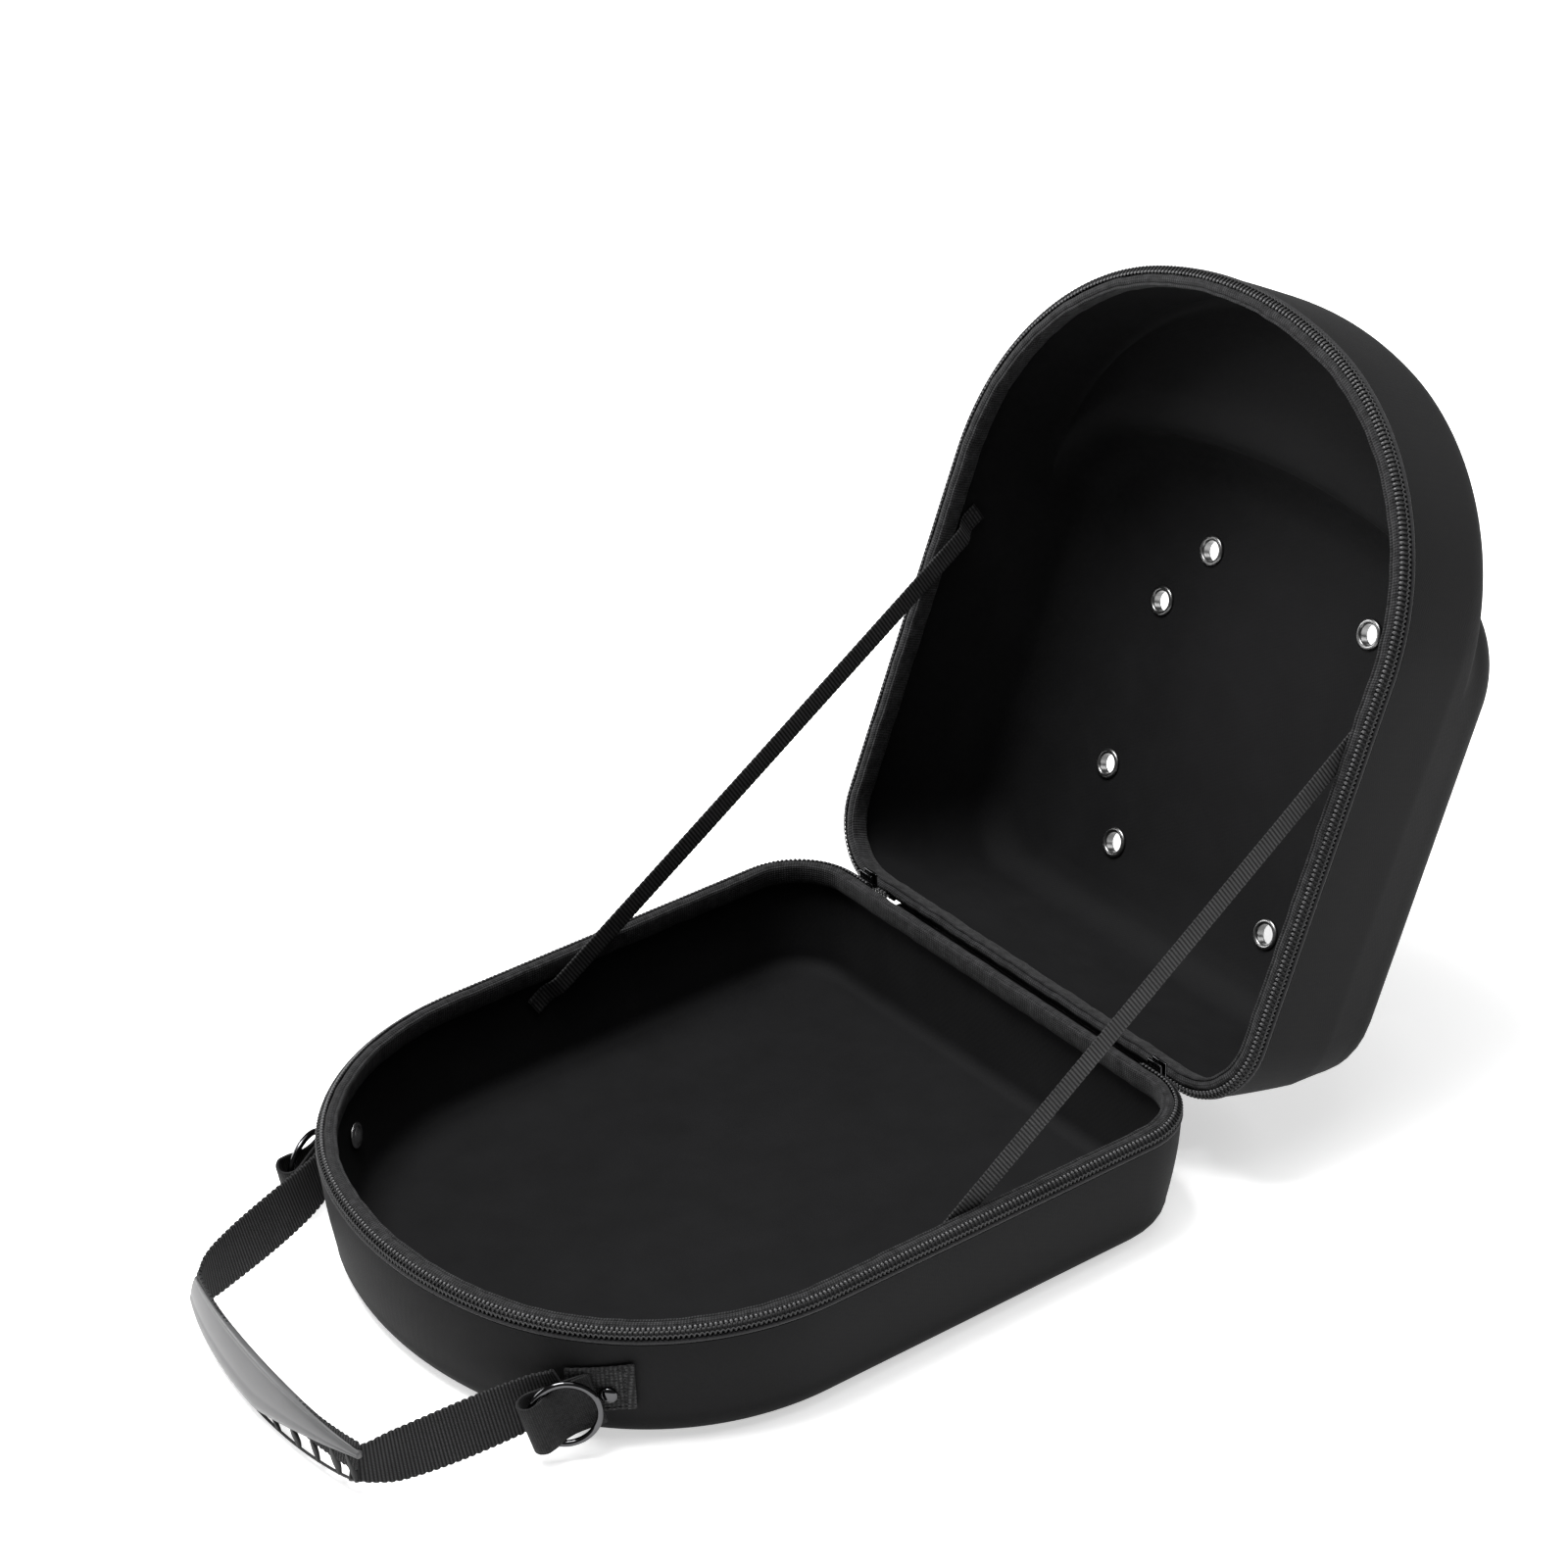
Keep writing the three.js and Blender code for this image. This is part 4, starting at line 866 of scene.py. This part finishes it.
def strap_line(side, anchor):
    """Path, length direction and width direction of a handle strap, on the +X side."""
    sign = side["sign"]
    mirror = np.array([sign, 1, 1])
    line, along, across, _, _ = grip_line(15)
    i = 0 if sign > 0 else -1
    outwards = along[i] * -sign * mirror
    end = line[i] * mirror - outwards * STRAP_IN_GRIP
    end_across = across[i] * mirror
    start, start_across, _ = anchor.on_patch(PATCH_AHEAD + GAP)
    bow = start + np.array([side["bow"][0], -side["bow"][1], -STRAP_SAG])
    path, s = resampled(bezier(start, bow, end + outwards * 14, end), step=0.35)
    share = s / s[-1]
    angle = math.radians(side["lean"]) * np.sin(np.pi * np.minimum(share * 1.1, 1))
    across = np.stack([-np.sin(angle), np.zeros(len(s)), np.cos(angle)], 1)
    first = np.clip(1 - share / 0.12, 0, 1)[:, None]
    last = np.clip((share - 0.88) / 0.12, 0, 1)[:, None]
    across = across * (1 - first) + start_across * first
    across = across * (1 - last) + end_across * last
    t = tangents(path)
    across = unit(across - t * (across * t).sum(1, keepdims=True))
    return path, t, across


def stitches(path, normal, length, spacing, radius=0.28):
    """A row of short threads lying on a surface."""
    line, _ = resampled(np.concatenate(np.broadcast_arrays(path, normal), 1), step=spacing)
    k = np.linspace(-1, 1, 5)[:, None]
    profile = ellipse(1, 1, 5) * (radius * (1 - 0.45 * k * k))[..., None]
    parts = []
    for i in range(len(line) - 1):
        a, b = line[i, :3], line[i + 1, :3]
        d = unit(b - a)
        n = unit(line[i, 3:])
        rows = (a + b) / 2 + d * k * length / 2 + n * (radius * 0.9 * (1 - k * k))
        parts.append(sweep(rows, np.cross(n, d), n, profile))
    return merged(parts)


def strap_piece(side_name, side, anchor):
    path, t, across = strap_line(side, anchor)
    shape, uv = ribbed(path, across, np.cross(t, across), WEB_WIDTH, WEB_THICK, WEB_PITCH, narrow=0.3)
    side_piece(side_name, "handle_strap", "webbing", shape, WEBBING, uv)


def columns(rows):
    return [np.array(column) for column in zip(*rows)]


def patch_pieces(side_name, anchor):
    """Sewn patch with a hem at its blind end and a box of stitches."""
    ahead = np.arange(-PATCH_BEHIND, PATCH_AHEAD + 0.01, 0.4)
    middle, across, out = columns([anchor.on_patch(a) for a in ahead])
    shape, uv = ribbed(middle, across, out, WEB_WIDTH, WEB_THICK, PATCH_PITCH, 0.12, 0.3)
    hem_middle, hem_across, hem_out = columns([anchor.on_patch(a) for a in np.linspace(-11.2, -7.6, 8)])
    hem_bar = rounded_bar(WEB_WIDTH - 0.6, 0.9, 4, 8)
    hem_shape = sweep(hem_middle + hem_out * 0.75, hem_across, hem_out, hem_bar)
    uv = np.concatenate([uv, hem_shape[0][:, 1:]])
    shape = merged([shape, hem_shape])
    side_piece(side_name, "anchor_patch", "webbing", shape, PATCH, uv)

    seams = []
    for edge in (-1, 1):
        line = middle + across * edge * (WEB_WIDTH / 2 - 2) + out * SEAM_LIFT
        seams.append(stitches(line, out, 1.9, 2.7))
    for a in (-6.6, 9.0):
        m, w, o = anchor.on_patch(a)
        line = np.array([m + w * k + o * SEAM_LIFT for k in np.linspace(-10, 10, 20)])
        seams.append(stitches(line, o, 1.9, 2.7))
    side_piece(side_name, "anchor_patch", "stitches", merged(seams), SEAM, replaces=False)


def loop_piece(side_name, anchor):
    """Tape loop: two plies pinched under the rivet and round at the far end."""
    foot, u, v, w = anchor.loop_axes()
    pinch, bend = LOOP_PINCH, LOOP_BEND
    curve = [(pinch - 1.4, 0.35), (pinch + 1.5, 0.12), (12, 0.0), (20, 0.0)]
    for a in np.linspace(-np.pi / 2, np.pi / 2, 20):
        curve.append((LOOP_REACH - bend + bend * math.cos(a), bend + bend * math.sin(a)))
    curve += [(27, 9.0), (22, 4.4), (17, 2.4), (11, 1.7), (pinch + 0.4, 1.35), (pinch - 1.4, 1.25)]
    keys = np.array(curve)
    fine = monotone(np.arange(len(keys)), keys, np.linspace(0, len(keys) - 1, 150))
    line, s = resampled(fine, step=0.5)
    path = foot + u * (line[:, :1] - pinch) + v * line[:, 1:]
    edge_sag = 1.4 * np.exp(-(((s - s[-1] * 0.62) / 16) ** 2))
    bar = rounded_bar(WEB_WIDTH, LOOP_THICK * 0.88, 4, 8)
    profile = np.tile(bar, (len(s), 1, 1))
    profile[..., 0] *= (1 - edge_sag / WEB_WIDTH)[:, None]
    shape = sweep(path, w, np.cross(tangents(path), w), profile)
    uv = np.stack([np.repeat(s, len(bar)), np.tile(profile[0, :, 0] + 13, len(s))], 1)
    side_piece(side_name, "ring_loop", "tape", shape, LOOP, uv)


def ring_piece(side_name, anchor):
    """Round ring lying in the bend of the loop."""
    foot, u, v, w = anchor.loop_axes()
    deepest = LOOP_REACH - LOOP_PINCH - LOOP_THICK / 2 - GAP - RING_SEAT
    middle = foot + u * (deepest - RING_RADIUS) + v * RING_OFF
    a = np.linspace(0, 2 * np.pi, 96, endpoint=False)
    radial = np.cos(a)[:, None] * u + np.sin(a)[:, None] * w
    wire = ellipse(RING_WIRE, RING_WIRE, 16)
    shape = sweep(middle + radial * RING_RADIUS, radial, np.cross(u, w), wire, True)
    side_piece(side_name, "strap_ring", "wire", shape, GUNMETAL)


def rivet_pieces(side_name, anchor):
    """Rivet: a domed head outside and a rolled cap inside."""
    axis = unit(np.array([*anchor.n[:2], -wall_lean()]))
    side_way = unit(np.cross(UP, axis))
    basis = np.stack([side_way, np.cross(axis, side_way), axis])
    head_foot = 2 * GAP + WEB_THICK
    cap_foot = -TRAY_WALL - 2 * GAP
    head = [(0.01, head_foot + 2.6)]
    for b in np.linspace(0.15, np.pi / 2, 9):
        head.append((4.1 * math.sin(b), head_foot + 0.5 + 2.1 * math.cos(b)))
    head += [(4.1, head_foot + 0.1), (3.9, head_foot), (1.5, head_foot), (1.5, cap_foot), (4.2, cap_foot)]
    head += [(0.01, cap_foot - 0.3)]
    cap = [
        (0.01, 0.1), (5.2, 0.1), (6.1, 0.35), (6.0, 0.9), (5.3, 1.2),
        (4.7, 1.0), (4.0, 1.6), (2.3, 2.3), (0.01, 2.6),
    ]
    cap = [(radius, cap_foot - rise) for radius, rise in cap]
    shape = loft(lathe(head, 36) @ basis + anchor.foot)
    side_piece(side_name, "rivet", "dome", shape, GUNMETAL)
    shape = loft(lathe(cap, 36) @ basis + anchor.foot)
    side_piece(side_name, "rivet", "cap", shape, CAP_METAL, replaces=False)


for side_name, side in SIDES.items():
    anchor = Anchor(side["turn"])
    strap_piece(side_name, side, anchor)
    patch_pieces(side_name, anchor)
    loop_piece(side_name, anchor)
    ring_piece(side_name, anchor)
    rivet_pieces(side_name, anchor)


# Grip: a satin moulding over the webbing, dark like its ribs, with a grey base colour that is partly painted
# glare. Towards its near end the lower edge opens into a few slanted ribs
def grip_swell(share):
    return 0.62 + 0.38 * np.sin(np.pi * np.clip(share, 0, 1)) ** 0.8


def grip_low(share):
    """How far the body reaches down, as a share of the half height."""
    return -np.interp(share, [0, 0.12, 0.3, 0.48, 1], [-0.55, -0.1, 0.45, 0.97, 0.97])


def grip_body(line, across, through, s):
    """The moulding, and half its height at each station."""
    share = s / s[-1]
    half = GRIP_HALF_HEIGHT * grip_swell(share)
    thick = GRIP_HALF_THICK * grip_swell(share)
    low = grip_low(share)
    front = np.array([
        (1.0, 0.0), (0.99, 0.3), (0.96, 0.52), (0.92, 0.62), (0.9, 0.56), (0.88, 0.6), (0.8, 0.76),
        (0.6, 0.9), (0.42, 0.95), (0.38, 0.9), (0.34, 0.97), (0.2, 1.0), (0.08, 0.72), (0.03, 0.4), (0, 0.1),
    ])
    profile = np.concatenate([front, (front * [1, -1])[::-1][:-1]])
    reach = low[:, None] + (1 - low[:, None]) * profile[:, 0]
    scaled = np.stack([reach * half[:, None], profile[:, 1] * thick[:, None]], -1)
    return sweep(line, across, through, scaled), half


def grip_rib(line, along, across, through, half, position, broad):
    """One slanted rib from the rail up to the body, at a share of the grip's length."""
    i = int(position * (GRIP_STATIONS - 1))
    k = np.linspace(0, 1, 9)
    low = -GRIP_RAIL * half[i]
    high = (float(grip_low(position)) + 0.08) * half[i]
    rise = low + (high - low) * k
    path = line[i] + across[i] * rise[:, None] + along[i] * (GRIP_RIB_SLANT * (k - 0.5))[:, None]
    tall = 0.3 + broad * np.sin(np.pi * (0.1 + 0.8 * k)) ** 1.3
    profile = ellipse(1, 1, 10)[None] * np.stack([tall, 0.8 + 0.3 * k], 1)[:, None]
    return sweep(path, along[i], through[i], profile)


line, along, across, through, s = grip_line(GRIP_STATIONS)
shape, half = grip_body(line, across, through, s)
make("grip_body", shape, GRIP_WITH_PAINTED_GLARE, ["handle_grip"])

near = s / s[-1] <= 0.52
rail_line = line - across * (half * GRIP_RAIL)[:, None]
rail = sweep(rail_line[near], across[near], through[near], ellipse(0.5, 0.8, 8))
ribs = [grip_rib(line, along, across, through, half, *rib) for rib in GRIP_RIBS]
make("grip_openwork", merged([rail] + ribs), GRIP_DARK)

inside = slice(2, -2)
shape, uv = ribbed((line + across * 4.0)[inside], across[inside], through[inside], 14, 1.6, 1.44)
make("grip_webbing_core", shape, WEBBING, uv=uv)


# Stay straps
def lid_point(across, along, depth):
    return np.array(LID @ Vector((-across, along, -depth)))


def side_reach(shape, along):
    """How far a plan reaches sideways at a place along the case."""
    x, y, _ = shoulder_of(shape)
    return shape[0] if along >= y else x + math.sqrt(shape[4] ** 2 - (along - y) ** 2)


def stay_pieces(side_name, side):
    """A strap from wall to wall past both bindings, with the crossed box stitches of its ends."""
    clear = GAP + STAY_THICK / 2
    past = HALF_WIDTH - BINDING_REACH - clear
    tray_rim = np.array([past, side["stay_tray"], TRAY_HEIGHT])
    lid_rim = lid_point(past, side["stay_lid"], 0)
    pull = unit((lid_rim - tray_rim) * [0, 1, 1])
    into = lid_point(0, 0, 1) - lid_point(0, 0, 0)
    way_along = lid_point(0, 1, 0) - lid_point(0, 0, 0)
    ends = []
    for rim, place, way, sink, drift, inset, wall in (
        (tray_rim, side["stay_tray"], -pull, pull[2], -pull[1], tray_inset, TRAY_WALL),
        (lid_rim, side["stay_lid"], pull, pull @ into, pull @ way_along, lid_inset, LID_WALL),
    ):
        spread = STAY_WIDTH / 2 * abs(drift)
        edge = BINDING_DROP + spread + GAP
        rows = [rim + way * (edge / sink)]
        for depth in (edge + 3, edge + 8):
            p = rim + way * (depth / sink)
            along_at = place + drift * (depth / sink) - STAY_WIDTH / 2
            p[0] = side_reach(rim_shape(float(inset(depth + spread)) + wall), along_at) - clear
            rows.append(p)
        ends.append(rows)
    path, s = resampled(np.array(ends[0][::-1] + ends[1]), step=0.39)
    soften = 13
    padded_x = np.pad(path[:, 0], soften // 2, mode="edge")
    path[:, 0] = np.convolve(padded_x, np.ones(soften) / soften, "valid")
    across = np.array([0, -pull[2], pull[1]])
    sag = 1.2 * np.sin(np.pi * s / s[-1])
    path = path + np.outer(sag, [0, pull[2] * -0.5, -0.5])
    shape, uv = ribbed(path, across, (1, 0, 0), STAY_WIDTH, STAY_THICK, STAY_PITCH, 0.4, 0.3)
    side_piece(side_name, "stay_strap", "webbing", shape, STAY_WEB, uv)

    seams = []
    w = across * 4
    for _, a, b in ends:
        box = np.array([a + w, b + w, b - w, a - w, b + w, a + w, a - w, b - w])
        seams.append(stitches(box - [0.55, 0, 0], (-1, 0, 0), 1.3, 1.9, 0.2))
    side_piece(side_name, "stay_strap", "stitches", merged(seams), SEAM, replaces=False)


for side_name, side in SIDES.items():
    stay_pieces(side_name, side)


# Cloth hinge
def hinge_line():
    """The strip's path from the tray's end over to the lid's, with the distance of each point."""
    seam_top = RIM_BAND + 1.5

    def on_tray(depth, out):
        return [0, HALF_LENGTH - float(tray_inset(depth)) + out, TRAY_HEIGHT - depth]

    def on_lid(depth, out):
        return lid_point(0, HALF_LENGTH - float(lid_inset(max(depth, RIM_BAND))) + out, depth)

    keys = [
        on_tray(seam_top + HINGE_SEAM, HINGE_OFF), on_tray(seam_top + 2, HINGE_OFF),
        on_tray(seam_top, HINGE_OFF + 1.2), on_lid(RIM_BAND - 3, HINGE_OFF + 1.6),
        on_lid(RIM_BAND + 1, HINGE_OFF), on_lid(RIM_BAND + HINGE_SEAM, HINGE_OFF),
    ]
    fine = monotone(np.arange(6), np.array(keys) * [0, 1, 1], np.linspace(0, 5, 60))
    return resampled(fine, step=0.5)


path, s = hinge_line()
t = tangents(path)
shape, uv = ribbed(path, (1, 0, 0), np.cross(t, (1, 0, 0)), HINGE_WIDTH, 1.1, 1.6, 0.2, 0.1)
make("hinge_strip_cloth", shape, WEBBING, ["hinge_strip"], uv=uv)
seams = []
for at in (2.5, s[-1] - 2.5):
    i = int(np.searchsorted(s, at))
    n = np.cross(t[i], [1.0, 0, 0])
    n = n if n[1] > 0 or n[2] < 0 else -n
    row = np.array([path[i] + [x, 0, 0] + n * 0.5 for x in np.linspace(-92, 92, 60)])
    seams.append(stitches(row, n, 2.2, 3.0, 0.25))
make("hinge_strip_stitches", merged(seams), SEAM)


# Zip sliders with their pulls
def bevelled(name, boxes, replaces, bevel):
    """Boxes given by centre and size, joined as one piece with rounded edges."""
    corners = np.array([[x, y, z] for x in (-0.5, 0.5) for y in (-0.5, 0.5) for z in (-0.5, 0.5)])
    sides = [(0, 1, 3, 2), (4, 6, 7, 5), (0, 4, 5, 1), (2, 3, 7, 6), (0, 2, 6, 4), (1, 5, 7, 3)]
    shape = merged([(corners * size + centre, sides) for centre, size in boxes])
    piece = make(name, shape, GUNMETAL, replaces)
    edge = piece.modifiers.new("round", "BEVEL")
    edge.width = bevel * MM
    edge.segments = 3


for side_name, side in SIDES.items():
    x = side["sign"] * (HALF_WIDTH - CORNER_RADIUS - 6)
    y = HALF_LENGTH + 3.15
    z = TRAY_HEIGHT - 3
    boxes = [
        ((x, y - 1.7, z), (9, 1.1, 8)), ((x, y + 1.1, z), (9, 1.1, 8)), ((x, y - 0.3, z), (2.6, 2.6, 7.4)),
        ((x, y + 1.9, z + 1.8), (2.4, 0.7, 2.2)), ((x, y + 1.9, z - 2.2), (2.4, 0.7, 2.2)),
    ]
    bevelled(f"zip_slider_{side_name}_body", boxes, [f"zip_slider_{side_name}"], 0.4)
    pull_way = np.array([[x, y, z - k] for k in np.linspace(3.2, 25.5, 30)])
    broad = 2.1 + 1.15 * np.sin(np.linspace(0.25, 2.7, 30)) ** 0.8
    profile = ellipse(1, 1, 14)[None] * np.stack([broad, np.full(30, 0.7)], 1)[:, None]
    profile[0] *= 0.6
    profile[-1] *= 0.55
    shape = sweep(pull_way, (1, 0, 0), (0, 1, 0), profile)
    make(f"zip_slider_{side_name}_pull", shape, GUNMETAL)


# Floor, light and camera
FLOOR_REACH = 15
FOCAL_LENGTH_IN_PIXELS = 4694.57
IMAGE_WIDTH = 1600
SENSOR_WIDTH = 36
# Name, place, target, size in metres and power in watts of each lamp
LAMPS = (
    ("top", (-0.1, -0.1, 2.8), (0, 0.1, 0), (2.6, 2.6), 40),
    ("key", (-0.35, -0.45, 2.6), (0, 0.2, 0.2), (1.1, 1.1), 84),
    ("left", (-2.4, -1.5, 1.1), (0, 0, 0.1), (1.4, 1.2), 42),
    ("back", (0.7, 2.6, 1.3), (0.1, 0.4, 0), (1.6, 1.2), 22),
)


def lamp(name, place, target, size, power):
    data = bpy.data.lights.new(name, "AREA")
    data.shape = "RECTANGLE"
    data.size, data.size_y = size
    data.energy = power
    o = bpy.data.objects.new(name, data)
    o.location = place
    o.rotation_euler = (Vector(target) - Vector(place)).to_track_quat("-Z", "Y").to_euler()
    bpy.context.scene.collection.objects.link(o)


floor_mesh = bpy.data.meshes.new("floor")
corners = [(x * FLOOR_REACH, y * FLOOR_REACH, 0) for x, y in ((-1, -1), (1, -1), (1, 1), (-1, 1))]
floor_mesh.from_pydata(corners, [], [(0, 1, 2, 3)])
floor = bpy.data.objects.new("floor", floor_mesh)
paper, _, paper_shader = material("floor_paper", (0.93, 0.93, 0.93), 0.9)
paper_shader.inputs["Emission Color"].default_value = (1, 1, 1, 1)
paper_shader.inputs["Emission Strength"].default_value = 0.55
floor_mesh.materials.append(paper)
bpy.context.scene.collection.objects.link(floor)

world = bpy.data.worlds.new("studio")
bpy.context.scene.world = world
world.use_nodes = True
sky = world.node_tree.nodes["Background"]
sky.inputs["Color"].default_value = (1, 1, 1, 1)
sky.inputs["Strength"].default_value = 0.1
for row in LAMPS:
    lamp(*row)

camera = bpy.data.cameras.new("camera")
camera.lens = FOCAL_LENGTH_IN_PIXELS / IMAGE_WIDTH * SENSOR_WIDTH
camera.sensor_width = SENSOR_WIDTH
eye = bpy.data.objects.new("camera", camera)
eye.matrix_world = Matrix((
    (0.60563746, -0.3909614, 0.69307464, 1.36139),
    (0.79534494, 0.32487871, -0.51174236, -0.95741),
    (-0.02509369, 0.86116375, 0.50770789, 1.19988),
    (0, 0, 0, 1),
))
bpy.context.scene.collection.objects.link(eye)
bpy.context.scene.camera = eye
bpy.context.scene.view_settings.view_transform = "Standard"
